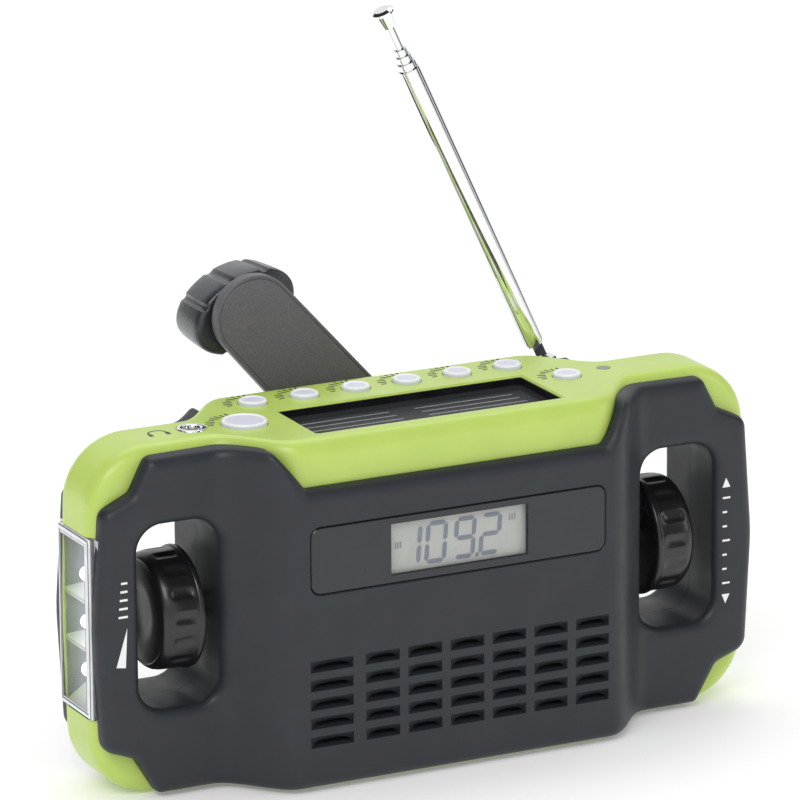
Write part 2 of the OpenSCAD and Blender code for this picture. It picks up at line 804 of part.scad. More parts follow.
module crank_arm() {
    root = hinge_reach + lug_r + 0.5;
    wide = 10.15;
    knuckle = lug_in - 0.2;
    back = arm_front + arm_thick;
    color([0.31, 0.3, 0.32]) crank_frame() difference() {
        union() {
            translate([0, 0, arm_front]) linear_extrude(arm_thick) {
                polygon([[root, -wide], [crank_reach, -arm_half_w], [crank_reach, arm_half_w], [root, wide]]);
                translate([crank_reach, 0]) circle(arm_half_w);
            }
            translate([hinge_reach, -knuckle, arm_front]) cube([4, 2 * knuckle, arm_thick - 1.5]);
            translate([hinge_reach, 0, hinge_y]) rotate([90, 0, 0])
                cylinder(r = lug_r, h = 2 * knuckle, center = true);
            translate([crank_reach, 0, arm_front]) cylinder(r = 6, h = knob_front - gap - arm_front);
        }
        translate([hinge_reach, 0, hinge_y]) rotate([90, 0, 0])
            cylinder(r = 0.8 + fit, h = 20, center = true);
        translate([crank_reach, 0, arm_front + 0.8]) cylinder(r = 2.02, h = 10);
        // groove that sets off the rim of the outer face
        translate([crank_reach, 0, arm_front - 0.1]) rotate_extrude()
            polygon([[arm_half_w - 1.8, 0], [arm_half_w - 1.4, 0], [arm_half_w - 1.4, 0.4],
                [arm_half_w - 1.8, 0.4]]);
        translate([root + 4, -6, back - 0.8]) cube([22, 12, 2]);
    }
}

// Oval with three finger grooves on each long side, turned a little off the arm's cross direction
module knob_outline(shrink = 0) {
    rotate(74.6) polygon([for (t = [0:3:357])
        let (side = abs(t % 180 - 90), off = min(side, abs(side - 40)),
            dip = 0.45 * max(0, 1 - pow(off / 6, 2)))
        [(knob_long - shrink - dip) * cos(t), (knob_short - shrink - dip) * sin(t)]]);
}

module crank_knob() {
    color([0.25, 0.26, 0.29]) crank_frame() translate([crank_reach, 0, 0]) difference() {
        union() {
            translate([0, 0, knob_front]) linear_extrude(knob_len) knob_outline(0.8);
            translate([0, 0, knob_front + 1]) linear_extrude(knob_len - 2) knob_outline();
        }
        translate([0, 0, knob_front - 1]) cylinder(r = 2 + fit, h = knob_len + 2);
        translate([0, 0, knob_front + knob_len - 3]) cylinder(r = 4.2, h = 5);
    }
}

module crank_knob_pin() {
    color(chrome) crank_frame() translate([crank_reach, 0, 0]) {
        translate([0, 0, arm_front + 0.85]) cylinder(r = 2, h = knob_front + knob_len - arm_front - 3.4);
        translate([0, 0, knob_front + knob_len - 2.9]) cylinder(r = 3.6, h = 1.3);
    }
}

// --- Antenna ---

ear_in = 1.35;
ear_out = 2.5;

// Stud that turns in the rear cover and carries the antenna's hinge in its fork
module antenna_stud() {
    color(chrome) difference() {
        union() {
            bar_y([antenna_at[0], antenna_at[2]], 15.2, 21, 1.8);
            bar_y([antenna_at[0], antenna_at[2]], 20.7, 21.5, 2.5);
            antenna_frame() for (side = [-1, 1])
                translate([side > 0 ? ear_in : -ear_out, 0, 0]) rotate([90, 0, 90])
                    linear_extrude(ear_out - ear_in) {
                        circle(2.1);
                        translate([-3, -2.1]) square([3, 4.2]);
                    }
        }
        antenna_frame() rotate([0, 90, 0]) cylinder(r = 0.72, h = 10, center = true);
    }
}

module antenna_hinge_pin() {
    color(chrome) antenna_frame() rotate([0, 90, 0]) cylinder(r = 0.7, h = 2 * ear_out + 0.4, center = true);
}

// One tube of the antenna, with a ring at its mouth: index 0 is the widest
module antenna_tube(i) {
    start = tube_start + 0.8 + 1.6 * i;
    end = tube_start + tube_len + tube_step * i;
    ring = i == 0 ? 0 : 0.12;
    difference() {
        union() {
            translate([0, 0, start]) cylinder(r = tube_radii[i], h = end - start);
            if (i > 0) translate([0, 0, end - tube_step + 0.35])
                cylinder(r = tube_radii[i] + ring, h = tube_step - 0.35);
        }
        translate([0, 0, start + 1.4]) cylinder(r = tube_bores[i], h = end);
    }
}

module antenna_tube_1() {
    color(chrome) antenna_frame() difference() {
        union() {
            antenna_tube(0);
            translate([0, 0, tube_start]) cylinder(r = 2.2, h = 1);
            intersection() {
                union() {
                    rotate([0, 90, 0]) cylinder(r = 2, h = 4, center = true);
                    block([-2, -1.6, 0], [2, 1.6, tube_start + 0.2]);
                }
                block([-ear_in + 0.08, -5, -5], [ear_in - 0.08, 5, 10]);
            }
        }
        rotate([0, 90, 0]) cylinder(r = 0.7 + fit, h = 10, center = true);
    }
}

module antenna_tube_2() color(chrome) antenna_frame() antenna_tube(1);
module antenna_tube_3() color(chrome) antenna_frame() antenna_tube(2);
module antenna_tube_4() color(chrome) antenna_frame() antenna_tube(3);

module antenna_rod() {
    rod_end = 91.5;
    color(chrome) antenna_frame() rotate_extrude()
        polygon([[0, 14], [0.95, 14], [0.95, rod_end], [1.5, rod_end], [2.1, rod_end + 3.2],
            [2.5, rod_end + 3.4], [2.5, rod_end + 4], [1.8, rod_end + 4.5], [0, rod_end + 4.5]]);
}

centre_housing();
front_cover();
rear_cover();
battery_door();
display_window();
lcd_panel();
lcd_backlight();
lcd_holder();
solar_window();
solar_cell();
torch_lens();
torch_reflector();
torch_leds();
torch_board();
button_board();
tact_switches();
main_board();
board_chips();
speaker_frame();
speaker_cone();
speaker_magnet();
dust_screen();
battery_tray();
battery_cells();
headphone_socket();
charge_led();
dc_socket();
volume_control();
tuning_control();
dynamo_body();
gearbox_plate();
case_screws();
volume_wheel();
volume_shaft();
tuning_wheel();
tuning_shaft();
torch_button();
alarm_set_button();
time_set_button();
alarm_button();
hour_button();
minute_button();
light_button();
band_button();
crank_spindle();
drive_gear();
crank_hub();
idler_gear();
dynamo_gear();
crank_arm();
crank_hinge_pin();
crank_knob();
crank_knob_pin();
antenna_stud();
antenna_hinge_pin();
antenna_tube_1();
antenna_tube_2();
antenna_tube_3();
antenna_tube_4();
antenna_rod();
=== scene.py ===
"""The looks of the emergency radio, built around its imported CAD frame.
Shapes are worked out in millimetres and turned into metres when a piece is made."""

import math

import bmesh
import bpy
import numpy as np
from mathutils import Matrix, Vector
from mathutils.geometry import delaunay_2d_cdt


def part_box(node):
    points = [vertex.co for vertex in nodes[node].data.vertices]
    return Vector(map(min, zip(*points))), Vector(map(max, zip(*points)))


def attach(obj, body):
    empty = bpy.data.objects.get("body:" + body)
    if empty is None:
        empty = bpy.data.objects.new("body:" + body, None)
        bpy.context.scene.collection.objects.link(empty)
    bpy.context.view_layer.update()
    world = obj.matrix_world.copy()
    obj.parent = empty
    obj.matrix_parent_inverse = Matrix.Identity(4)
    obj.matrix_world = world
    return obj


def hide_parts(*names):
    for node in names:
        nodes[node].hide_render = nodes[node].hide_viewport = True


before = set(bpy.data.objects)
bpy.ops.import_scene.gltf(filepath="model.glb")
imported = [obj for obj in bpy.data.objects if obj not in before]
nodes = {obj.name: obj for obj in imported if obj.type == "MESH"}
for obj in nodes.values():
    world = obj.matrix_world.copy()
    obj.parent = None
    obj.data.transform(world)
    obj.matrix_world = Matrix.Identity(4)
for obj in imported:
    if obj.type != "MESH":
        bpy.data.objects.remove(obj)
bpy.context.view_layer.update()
MM = 0.001


def node_box(name):
    """Lowest and highest corner of a CAD node, in millimetres."""
    low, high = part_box(name)
    return [v / MM for v in low], [v / MM for v in high]


def front_box(name, gap=0.0):
    """A CAD node's box in X and Z, with a gap on each side."""
    low, high = node_box(name)
    return low[0] - gap, low[2] - gap, high[0] + gap, high[2] + gap


def solar_well(gap):
    """Box in X and Y round the solar window, with a gap on each side."""
    low, high = node_box("solar_window")
    return low[0] - gap, low[1] - gap, high[0] + gap, high[1] + gap


def spot(node, axis=1):
    """Middle of a CAD node in X and Y, or in X and Z when axis is 2."""
    low, high = node_box(node)
    return (low[0] + high[0]) / 2, (low[axis] + high[axis]) / 2


# --- Driving dimensions ---

CASE = "case"
housing_high = node_box("centre_housing")[1]
BODY_H = housing_high[2]
GREEN_SIDE = 81.0
GREEN_CROWN = GREEN_SIDE + (housing_high[0] - GREEN_SIDE) * 1.17
GREEN_CORNER = 14.5
GREEN_MID = housing_high[1]
GREEN_EAR = 8.5
GREEN_WAVE = (36.5, 52.5)
COVER_MID = -node_box("front_cover")[0][1]
COVER_EAR = 12.5
COVER_WAVE = (38.0, 54.0)
COVER_CORNERS = [(67, 0.7, 2), (72.2, 9.4, 2.5), (79.8, 12.2, 4), (81.2, 39.5, 60), (79.3, 66.2, 3),
                 (72.1, 69.6, 2.5), (68.2, 77.2, 2.5), (43, 77.6, 2.5), (36.4, 68.9, 1.5)]
SLOT = (52.0, 20.0, 71.2, 62.0)  # inner edge, lowest, outer edge, highest
SLOT_R = 6.0
LIP = 1.4
SEAM = 0.05
COVER_EDGE = 2.8
GREEN_EDGE = 3.3
SLOT_EDGE = 2.3
WHEEL_Z = 39.2
WINDOW = (-36.2, 45.2, 36.2, 60.5)
DISPLAY = (-16.8, 47.1, 16.8, 58.8)


# --- Outlines ---

def rounded(corners, pitch=1.0):
    """Closed outline with an arc of radius r at each corner (x, z, r), its points about a pitch apart."""
    corners = [np.array(c, float) for c in corners]
    count = len(corners)
    arcs = []
    for i in range(count):
        before, here, after = corners[i - 1][:2], corners[i][:2], corners[(i + 1) % count][:2]
        radius = corners[i][2]
        if radius == 0:
            arcs.append([here])
            continue
        u = (before - here) / np.linalg.norm(before - here)
        v = (after - here) / np.linalg.norm(after - here)
        half = math.acos(max(-1, min(1, float(u @ v)))) / 2
        bisector = (u + v) / np.linalg.norm(u + v)
        centre = here + bisector * radius / math.sin(half)
        p = here + u * radius / math.tan(half) - centre
        q = here + v * radius / math.tan(half) - centre
        start = math.atan2(p[1], p[0])
        turn = math.atan2(p[0] * q[1] - p[1] * q[0], float(p @ q))
        steps = max(4, int(round(abs(turn) * radius / min(pitch, 0.7))))
        steps = min(steps, 40)
        arcs.append([centre + radius * np.array([math.cos(start + turn * k / steps),
                                                 math.sin(start + turn * k / steps)])
                     for k in range(steps + 1)])
    points = []
    for i in range(count):
        points.extend(arcs[i])
        a, b = arcs[i][-1], arcs[(i + 1) % count][0]
        parts = max(1, int(round(np.linalg.norm(b - a) / pitch)))
        points.extend(a + (b - a) * k / parts for k in range(1, parts))
    return np.array(points)


def both_sides(right):
    """Corners of the right half and of its mirror image, in one closed order."""
    return list(right) + [(-x, z, r) for x, z, r in reversed(right)]


def even_outline(box, radius, grow=0.0, arc=6):
    """Rounded rectangle whose number of points doesn't depend on its size."""
    x0, z0, x1, z1 = box[0] - grow, box[1] - grow, box[2] + grow, box[3] + grow
    r = max(radius + grow, 0.01)
    centres = [(x1 - r, z0 + r, -90), (x1 - r, z1 - r, 0), (x0 + r, z1 - r, 90), (x0 + r, z0 + r, 180)]
    return np.array([(cx + r * math.cos(math.radians(a + 90 * k / arc)),
                      cz + r * math.sin(math.radians(a + 90 * k / arc)))
                     for cx, cz, a in centres for k in range(arc + 1)])


def slot_outline(side, grow=0.0):
    arc = 14
    points = even_outline(SLOT, SLOT_R, grow, arc)
    parts = 16
    full = []
    for i in range(4):
        corner = points[i * (arc + 1):(i + 1) * (arc + 1)]
        after = points[((i + 1) * (arc + 1)) % len(points)]
        full.extend(corner)
        full.extend(corner[-1] + (after - corner[-1]) * k / parts for k in range(1, parts))
    full = np.array(full)
    full[:, 0] *= side
    return full if side > 0 else full[::-1]


def circle(cx, cz, r, count=48):
    return np.array([(cx + r * math.cos(2 * math.pi * k / count), cz + r * math.sin(2 * math.pi * k / count))
                     for k in range(count)])


GREEN_OUTLINE = rounded(both_sides([(GREEN_SIDE - 0.43, 0, GREEN_CORNER), (GREEN_CROWN, BODY_H / 2, 400),
                                    (GREEN_SIDE - 0.43, BODY_H, GREEN_CORNER)]))
COVER_OUTLINE = rounded(both_sides(COVER_CORNERS))


def wave(x, span):
    t = np.clip((np.abs(x) - span[0]) / (span[1] - span[0]), 0, 1)
    return (1 - np.cos(math.pi * t)) / 2


def green_depth(x):
    return GREEN_MID - (GREEN_MID - GREEN_EAR) * wave(x, GREEN_WAVE)


def cover_depth(x):
    return COVER_MID - (COVER_MID - COVER_EAR) * wave(x, COVER_WAVE)


def cover_back(x):
    return green_depth(x) + SEAM


def distance(points, loop):
    """Distance of each point to a closed loop."""
    a = loop
    b = np.roll(loop, -1, axis=0)
    d = b - a
    length = np.maximum((d ** 2).sum(1), 1e-12)
    best = np.full(len(points), 1e9)
    for start in range(0, len(points), 2000):
        p = points[start:start + 2000, None, :]
        t = np.clip(((p - a) * d).sum(2) / length, 0, 1)
        gap = p - (a + t[:, :, None] * d)
        best[start:start + 2000] = np.sqrt((gap ** 2).sum(2)).min(1)
    return best


def inside(points, loop):
    a = loop
    b = np.roll(loop, -1, axis=0)
    x, z = points[:, 0][:, None], points[:, 1][:, None]
    crosses = (a[:, 1] > z) != (b[:, 1] > z)
    rise = np.where(b[:, 1] == a[:, 1], 1e-9, b[:, 1] - a[:, 1])
    at = a[:, 0] + (z - a[:, 1]) * (b[:, 0] - a[:, 0]) / rise
    return (crosses & (x < at)).sum(1) % 2 == 1


def inset(loop, depth, inward):
    """The loop's points moved by depth; inward is 1 for an outer outline and -1 for a hole."""
    along = np.roll(loop, -1, axis=0) - np.roll(loop, 1, axis=0)
    length = np.maximum(np.linalg.norm(along, axis=1), 1e-9)
    normal = np.stack([-along[:, 1], along[:, 0]], 1) / length[:, None]
    area = (loop[:, 0] * np.roll(loop[:, 1], -1) - np.roll(loop[:, 0], -1) * loop[:, 1]).sum()
    return loop + normal * depth * inward * (1 if area > 0 else -1)


def drop(depth, radius):
    """How far a rounded edge has fallen away at a distance from the outline."""
    t = np.clip(1 - depth / radius, 0, 1)
    return radius * (1 - np.sqrt(np.maximum(1 - t ** 2, 0)))


RING_STEPS = 6


def edge_rings(loop, radius, inward):
    rings = []
    for k in range(1, RING_STEPS + 1):
        depth = radius * (1 - math.cos(math.pi / 2 * k / RING_STEPS))
        ring = inset(loop, depth, inward)
        rings.append(ring[distance(ring, loop) > depth * 0.985])
    return np.concatenate(rings)


def grid(step_x, step_z):
    xs = np.arange(-82, 82.1, step_x)
    zs = np.arange(1, 79, step_z)
    return np.array([(x, z) for x in xs for z in zs])


def fill(loops, extra):
    """Triangles that fill the first loop less the others."""
    points = [Vector(p) for loop in loops for p in loop] + [Vector(p) for p in extra]
    edges = []
    start = 0
    for loop in loops:
        edges += [(start + i, start + (i + 1) % len(loop)) for i in range(len(loop))]
        start += len(loop)
    found, _, faces, *_ = delaunay_2d_cdt(points, edges, [], 0, 1e-4)
    flat = np.array([(v.x, v.y) for v in found])
    faces = np.array([f for f in faces if len(f) == 3])
    middle = flat[faces].mean(1)
    keep = inside(middle, loops[0])
    for hole in loops[1:]:
        keep &= ~inside(middle, hole)
    return flat, faces[keep]


# --- Meshes ---

def new_object(name, data):
    made = bpy.data.objects.new(name, data)
    bpy.context.scene.collection.objects.link(made)
    return made


class Solid:
    """Points and faces of one closed mesh, in millimetres."""

    def __init__(self):
        self.points, self.faces, self.slots = [], [], []

    def add(self, points, faces, slot=0):
        base = len(self.points)
        self.points.extend(tuple(float(c) for c in p) for p in points)
        self.faces.extend(tuple(int(i) + base for i in f) for f in faces)
        self.slots.extend([slot] * len(faces))

    def strip(self, a, b, slot=0):
        """Band of quads between two closed rings of as many points."""
        n = len(a)
        self.add(list(a) + list(b), [(i, (i + 1) % n, n + (i + 1) % n, n + i) for i in range(n)], slot)

    def loft(self, rings, slot=0, slots=None, caps=True):
        """Closed body through a list of rings; slots gives a material to each band."""
        for k in range(len(rings) - 1):
            self.strip(rings[k], rings[k + 1], slots[k] if slots else slot)
        if caps:
            self.add(rings[0], [tuple(range(len(rings[0])))], slots[0] if slots else slot)
            self.add(rings[-1], [tuple(range(len(rings[-1])))], slots[-1] if slots else slot)

    def box(self, low, high, slot=0):
        self.loft(box_rings(low, high), slot)

    def object(self, name, materials, smooth=38.0):
        merge = 0.002
        mesh = bpy.data.meshes.new(name)
        mesh.from_pydata([tuple(c * MM for c in p) for p in self.points], [], self.faces)
        mesh.polygons.foreach_set("material_index", self.slots)
        work = bmesh.new()
        work.from_mesh(mesh)
        bmesh.ops.remove_doubles(work, verts=work.verts, dist=merge * MM)
        bmesh.ops.dissolve_degenerate(work, edges=work.edges, dist=merge * MM / 4)
        bmesh.ops.recalc_face_normals(work, faces=work.faces)
        work.to_mesh(mesh)
        work.free()
        for m in materials:
            mesh.materials.append(m)
        shade(mesh, smooth)
        return new_object(name, mesh)


def shade(mesh, angle):
    mesh.polygons.foreach_set("use_smooth", [True] * len(mesh.polygons))
    mesh.set_sharp_from_angle(angle=math.radians(angle))
    mesh.update()


def combine(piece, operation, lofts, smooth=38.0):
    """Boolean of a piece with lofted bodies, which take the piece's first material."""
    solid = Solid()
    for rings in lofts:
        solid.loft(rings)
    tool = solid.object("tool", list(piece.data.materials))
    modifier = piece.modifiers.new("combine", "BOOLEAN")
    modifier.operation = operation
    modifier.solver = "EXACT"
    modifier.object = tool
    bpy.context.view_layer.update()
    graph = bpy.context.evaluated_depsgraph_get()
    mesh = bpy.data.meshes.new_from_object(piece.evaluated_get(graph))
    piece.modifiers.clear()
    piece.data = mesh
    bpy.data.objects.remove(tool)
    shade(mesh, smooth)


def carve(piece, *lofts, smooth=38.0):
    combine(piece, "DIFFERENCE", lofts, smooth)


def join(piece, *lofts):
    combine(piece, "UNION", lofts)


def place(piece, body, slot, *replaced):
    """Puts a piece on its body and hides the CAD nodes that it replaces; slot is not used."""
    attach(piece, body)
    if replaced:
        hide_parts(*replaced)


def on_y(loop, y):
    """Outline in X and Z at a depth y, which may be a function of x."""
    ys = y(loop[:, 0]) if callable(y) else [y] * len(loop)
    return [(p[0], d, p[1]) for p, d in zip(loop, ys)]


def on_z(loop, z):
    return [(p[0], p[1], z) for p in loop]


def box_rings(low, high):
    ring = [(low[0], low[1]), (high[0], low[1]), (high[0], high[1]), (low[0], high[1])]
    return [on_z(ring, low[2]), on_z(ring, high[2])]


def lathe_z(cx, cy, profile, count=64):
    """Rings of a body turned round a vertical axis: profile is a list of (radius, z)."""
    return [on_z(circle(cx, cy, max(r, 0.001), count), z) for r, z in profile]


def lathe_y(cx, cz, profile, count=64):
    return [on_y(circle(cx, cz, max(r, 0.001), count), y) for r, y in profile]


# --- Materials ---

def new_material(name):
    m = bpy.data.materials.new(name)
    m.use_nodes = True
    tree = m.node_tree
    shader = tree.nodes["Principled BSDF"]
    return m, tree, shader


def new_node(tree, kind):
    return tree.nodes.new("ShaderNode" + kind)


def noise(tree, size, detail=2.0, stretch=None):
    """Noise in the piece's own coordinates, with features of about size millimetres."""
    source = new_node(tree, "TexCoord").outputs["Object"]
    if stretch:
        mapping = new_node(tree, "Mapping")
        mapping.inputs["Scale"].default_value = stretch
        tree.links.new(source, mapping.inputs["Vector"])
        source = mapping.outputs["Vector"]
    texture = new_node(tree, "TexNoise")
    texture.inputs["Scale"].default_value = 1000.0 / size
    texture.inputs["Detail"].default_value = detail
    tree.links.new(source, texture.inputs["Vector"])
    return texture.outputs["Fac"]


def ramp(tree, value, low, high, color_low, color_high):
    node = new_node(tree, "ValToRGB")
    node.color_ramp.elements[0].position = low
    node.color_ramp.elements[1].position = high
    node.color_ramp.elements[0].color = (*color_low, 1)
    node.color_ramp.elements[1].color = (*color_high, 1)
    tree.links.new(value, node.inputs["Fac"])
    return node.outputs["Color"]


def between(tree, value, low, high, to_low, to_high):
    node = new_node(tree, "MapRange")
    node.inputs["From Min"].default_value = low
    node.inputs["From Max"].default_value = high
    node.inputs["To Min"].default_value = to_low
    node.inputs["To Max"].default_value = to_high
    tree.links.new(value, node.inputs["Value"])
    return node.outputs["Result"]


def bump(tree, height, strength, depth):
    node = new_node(tree, "Bump")
    node.inputs["Strength"].default_value = strength
    node.inputs["Distance"].default_value = depth * MM
    tree.links.new(height, node.inputs["Height"])
    return node.outputs["Normal"]


def surface(name, color, rough, metal=0.0, coat=0.0, vary=0.06, patch=9.0, grain=0.35, grain_size=0.45,
            grain_depth=0.02, speckle=None, specular=0.5, stretch=None, coat_rough=0.08):
    """Moulded or metal surface: patches of colour, uneven gloss, a fine grain and, if asked, speckles."""
    m, tree, shader = new_material(name)
    dark = tuple(c * (1 - vary) for c in color)
    light = tuple(min(1, c * (1 + vary)) for c in color)
    tint = ramp(tree, noise(tree, patch, 3.0), 0.3, 0.7, dark, light)
    if speckle:
        dots = ramp(tree, noise(tree, speckle[1], 1.0), speckle[2], speckle[2] + 0.06, (0, 0, 0), (1, 1, 1))
        mix = new_node(tree, "Mix")
        mix.data_type = "RGBA"
        tree.links.new(dots, mix.inputs["Factor"])
        tree.links.new(tint, mix.inputs["A"])
        mix.inputs["B"].default_value = (*speckle[0], 1)
        tint = mix.outputs["Result"]
    tree.links.new(tint, shader.inputs["Base Color"])
    shine = between(tree, noise(tree, patch * 0.6, 4.0), 0.3, 0.7, max(rough - 0.05, 0.01), rough + 0.05)
    tree.links.new(shine, shader.inputs["Roughness"])
    if grain:
        height = noise(tree, grain_size, 2.0, stretch)
        tree.links.new(bump(tree, height, grain, grain_depth), shader.inputs["Normal"])
    shader.inputs["Metallic"].default_value = metal
    shader.inputs["Coat Weight"].default_value = coat
    shader.inputs["Coat Roughness"].default_value = coat_rough
    shader.inputs["Specular IOR Level"].default_value = specular
    return m


def clear(name, tint, rough, alpha, specular=0.5):
    """Thin clear plastic: mostly see-through, with a faint tint and a gloss."""
    m, tree, shader = new_material(name)
    shade_of = ramp(tree, noise(tree, 20, 2.0), 0.3, 0.7, tuple(c * 0.97 for c in tint), tint)
    tree.links.new(shade_of, shader.inputs["Base Color"])
    shine = between(tree, noise(tree, 6, 3.0), 0.3, 0.7, rough, rough + 0.03)
    tree.links.new(shine, shader.inputs["Roughness"])
    shader.inputs["Alpha"].default_value = alpha
    shader.inputs["Specular IOR Level"].default_value = specular
    return m


GREEN = surface("green_plastic", (0.49, 0.65, 0.12), 0.4, vary=0.03, grain=0.16, grain_size=0.3, coat=0.45,
                coat_rough=0.28)
DARK = surface("dark_cover_plastic", (0.022, 0.0265, 0.033), 0.46, grain=0.3, grain_size=0.28,
               grain_depth=0.03, specular=0.42)
DARK_DEEP = surface("dark_recess_plastic", (0.012, 0.013, 0.016), 0.6, vary=0.1)
WINDOW_PRINT = surface("window_print", (0.017, 0.019, 0.023), 0.24, vary=0.05, patch=14, grain=0.03,
                       coat=0.12)
PANE = clear("clear_pane", (0.5, 0.52, 0.54), 0.04, 0.05, 0.2)
LCD = surface("lcd_glass", (0.45, 0.46, 0.43), 0.3, vary=0.05, patch=12, grain=0.0, coat=0.3)
DIGIT = surface("lcd_digit", (0.17, 0.20, 0.24), 0.35, vary=0.08, patch=2, grain=0.0)
BUTTON = surface("button_grey", (0.68, 0.70, 0.80), 0.38, vary=0.02, grain=0.12)
# White for the buttons' rim: a painted highlight where the grey cap's chamfer catches the light.
BUTTON_RIM_HIGHLIGHT = surface("button_rim_painted_highlight", (0.86, 0.87, 0.9), 0.3, vary=0.02, grain=0.05)
BLACK_GLOSS = surface("wheel_black", (0.010, 0.010, 0.011), 0.3, vary=0.15, grain=0.3, grain_size=0.6,
                      grain_depth=0.03, coat=0.25, coat_rough=0.12)
WHEEL_FACE = surface("wheel_face", (0.010, 0.010, 0.011), 0.42, vary=0.1, grain=0.2, grain_size=0.5)
ARM = surface("crank_arm_speckled", (0.112, 0.106, 0.119), 0.44, vary=0.05, grain=0.4, grain_size=0.4,
              grain_depth=0.03, speckle=((0.14, 0.132, 0.146), 0.3, 0.52))
KNOB = surface("crank_knob_textured", (0.024, 0.028, 0.034), 0.32, vary=0.15, grain=1.0, grain_size=0.5,
               grain_depth=0.12, coat=0.4, coat_rough=0.22)
CHROME = surface("antenna_chrome", (0.90, 0.91, 0.92), 0.06, metal=1.0, vary=0.02, grain=0.0)
STEEL = surface("steel", (0.55, 0.55, 0.57), 0.3, metal=1.0, vary=0.05, grain=0.3, grain_size=0.5,
                stretch=(1, 0.08, 1))
SILICON = surface("solar_silicon", (0.010, 0.010, 0.013), 0.4, vary=0.35, patch=5, grain=0.1, specular=0.15)
SILVER_LINE = surface("solar_contact", (0.5, 0.5, 0.52), 0.4, vary=0.1, grain=0.1)
WHITE = surface("white_plastic", (0.86, 0.86, 0.87), 0.28, vary=0.02, grain=0.08)
PRINT_WHITE = surface("white_print", (0.85, 0.86, 0.87), 0.5, vary=0.03, grain=0.1)
PRINT_DARK = surface("dark_print", (0.03, 0.05, 0.02), 0.5, vary=0.05, grain=0.1)
TORCH_LENS = clear("torch_lens_clear", (0.9, 0.92, 0.94), 0.03, 0.1)
# Opaque dark grey and white bands on the clear cover's rim: painted dark lines and painted highlights for how
# the clear edges bend and reflect light.
LENS_PAINTED_DARK_LINE = surface("torch_lens_painted_dark_line", (0.16, 0.17, 0.18), 0.2, vary=0.3, patch=2, grain=0.0, coat=0.5)
LENS_PAINTED_HIGHLIGHT = surface("torch_lens_painted_highlight", (0.78, 0.8, 0.82), 0.15, vary=0.1, patch=3, grain=0.0, coat=0.6)
SILVER = surface("torch_silver", (0.8, 0.81, 0.83), 0.22, metal=0.3, vary=0.03, patch=4, grain=0.05)
# Darker grey for the funnels' rear facets: painted shade on what is the same silver as the rest of the liner.
SILVER_PAINTED_SHADE = surface("torch_silver_painted_shade", (0.2, 0.22, 0.24), 0.2, metal=0.4, patch=3, grain=0.05)
PCB = surface("circuit_board", (0.02, 0.12, 0.05), 0.35, vary=0.2, patch=3, grain=0.3)
COMPONENT = surface("component_black", (0.015, 0.015, 0.017), 0.4, vary=0.2, grain=0.3)
PAPER = surface("speaker_paper", (0.02, 0.02, 0.022), 0.8, vary=0.2, patch=2, grain=0.8, grain_size=0.6)
FERRITE = surface("ferrite", (0.05, 0.05, 0.055), 0.7, vary=0.2, patch=2, grain=0.6)
SLEEVE = surface("cell_sleeve", (0.10, 0.28, 0.06), 0.25, vary=0.05, grain=0.1, coat=0.4)
ACETAL = surface("gear_acetal", (0.75, 0.74, 0.68), 0.35, vary=0.03, grain=0.15)
BRASS = surface("brass", (0.62, 0.42, 0.14), 0.28, metal=1.0, vary=0.08, grain=0.2)
LED_GLOSS = surface("led_dark", (0.012, 0.012, 0.012), 0.1, vary=0.1, grain=0.0, coat=1.0)


def glow_material():
    m, tree, shader = new_material("led_glow")
    lit = ramp(tree, noise(tree, 1.5), 0.3, 0.7, (0.85, 0.88, 0.95), (1.0, 1.0, 1.0))
    tree.links.new(lit, shader.inputs["Base Color"])
    tree.links.new(lit, shader.inputs["Emission Color"])
    shader.inputs["Emission Strength"].default_value = 5.0
    shader.inputs["Roughness"].default_value = 0.1
    return m


GLOW = glow_material()


# --- Shells ---

def cover_shell(name, side):
    """A cover with rounded edges all round; side is -1 for the front and 1 for the rear."""
    slots = [slot_outline(s) for s in (-1, 1)]
    lips = [slot_outline(s, LIP) for s in (-1, 1)]
    free = grid(2.0, 4.0)
    free = free[(distance(free, COVER_OUTLINE) > COVER_EDGE + 0.5)
                & (np.minimum(distance(free, slots[0]), distance(free, slots[1])) > SLOT_EDGE + 0.5)]
    extra = np.concatenate([free, edge_rings(COVER_OUTLINE, COVER_EDGE, 1)]
                           + [edge_rings(s, SLOT_EDGE, -1) for s in slots])
    extra = extra[inside(extra, COVER_OUTLINE)]
    flat, faces = fill([COVER_OUTLINE] + slots, extra)
    fall = drop(distance(flat, COVER_OUTLINE), COVER_EDGE)
    for slot in slots:
        fall = fall + drop(distance(flat, slot), SLOT_EDGE)
    height = cover_depth(flat[:, 0]) - fall
    shell = Solid()
    shell.add([(p[0], side * h, p[1]) for p, h in zip(flat, height)], faces)
    shell.strip(on_y(COVER_OUTLINE, lambda x: side * (cover_depth(x) - COVER_EDGE)),
                on_y(COVER_OUTLINE, lambda x: side * cover_back(x)))
    for slot, lip in zip(slots, lips):
        shell.strip(on_y(slot, lambda x: side * (cover_depth(x) - SLOT_EDGE)), on_y(slot, side * SEAM))
        shell.strip(on_y(slot, side * SEAM), on_y(lip, side * SEAM))
        shell.strip(on_y(lip, side * SEAM), on_y(lip, lambda x: side * cover_back(x)))
    back = grid(2.0, 12.0)
    back = back[inside(back, COVER_OUTLINE) & (distance(back, COVER_OUTLINE) > 0.5)]
    flat, faces = fill([COVER_OUTLINE] + lips, back)
    shell.add([(p[0], side * cover_back(p[0]), p[1]) for p in flat], faces)
    return shell.object(name, [DARK])


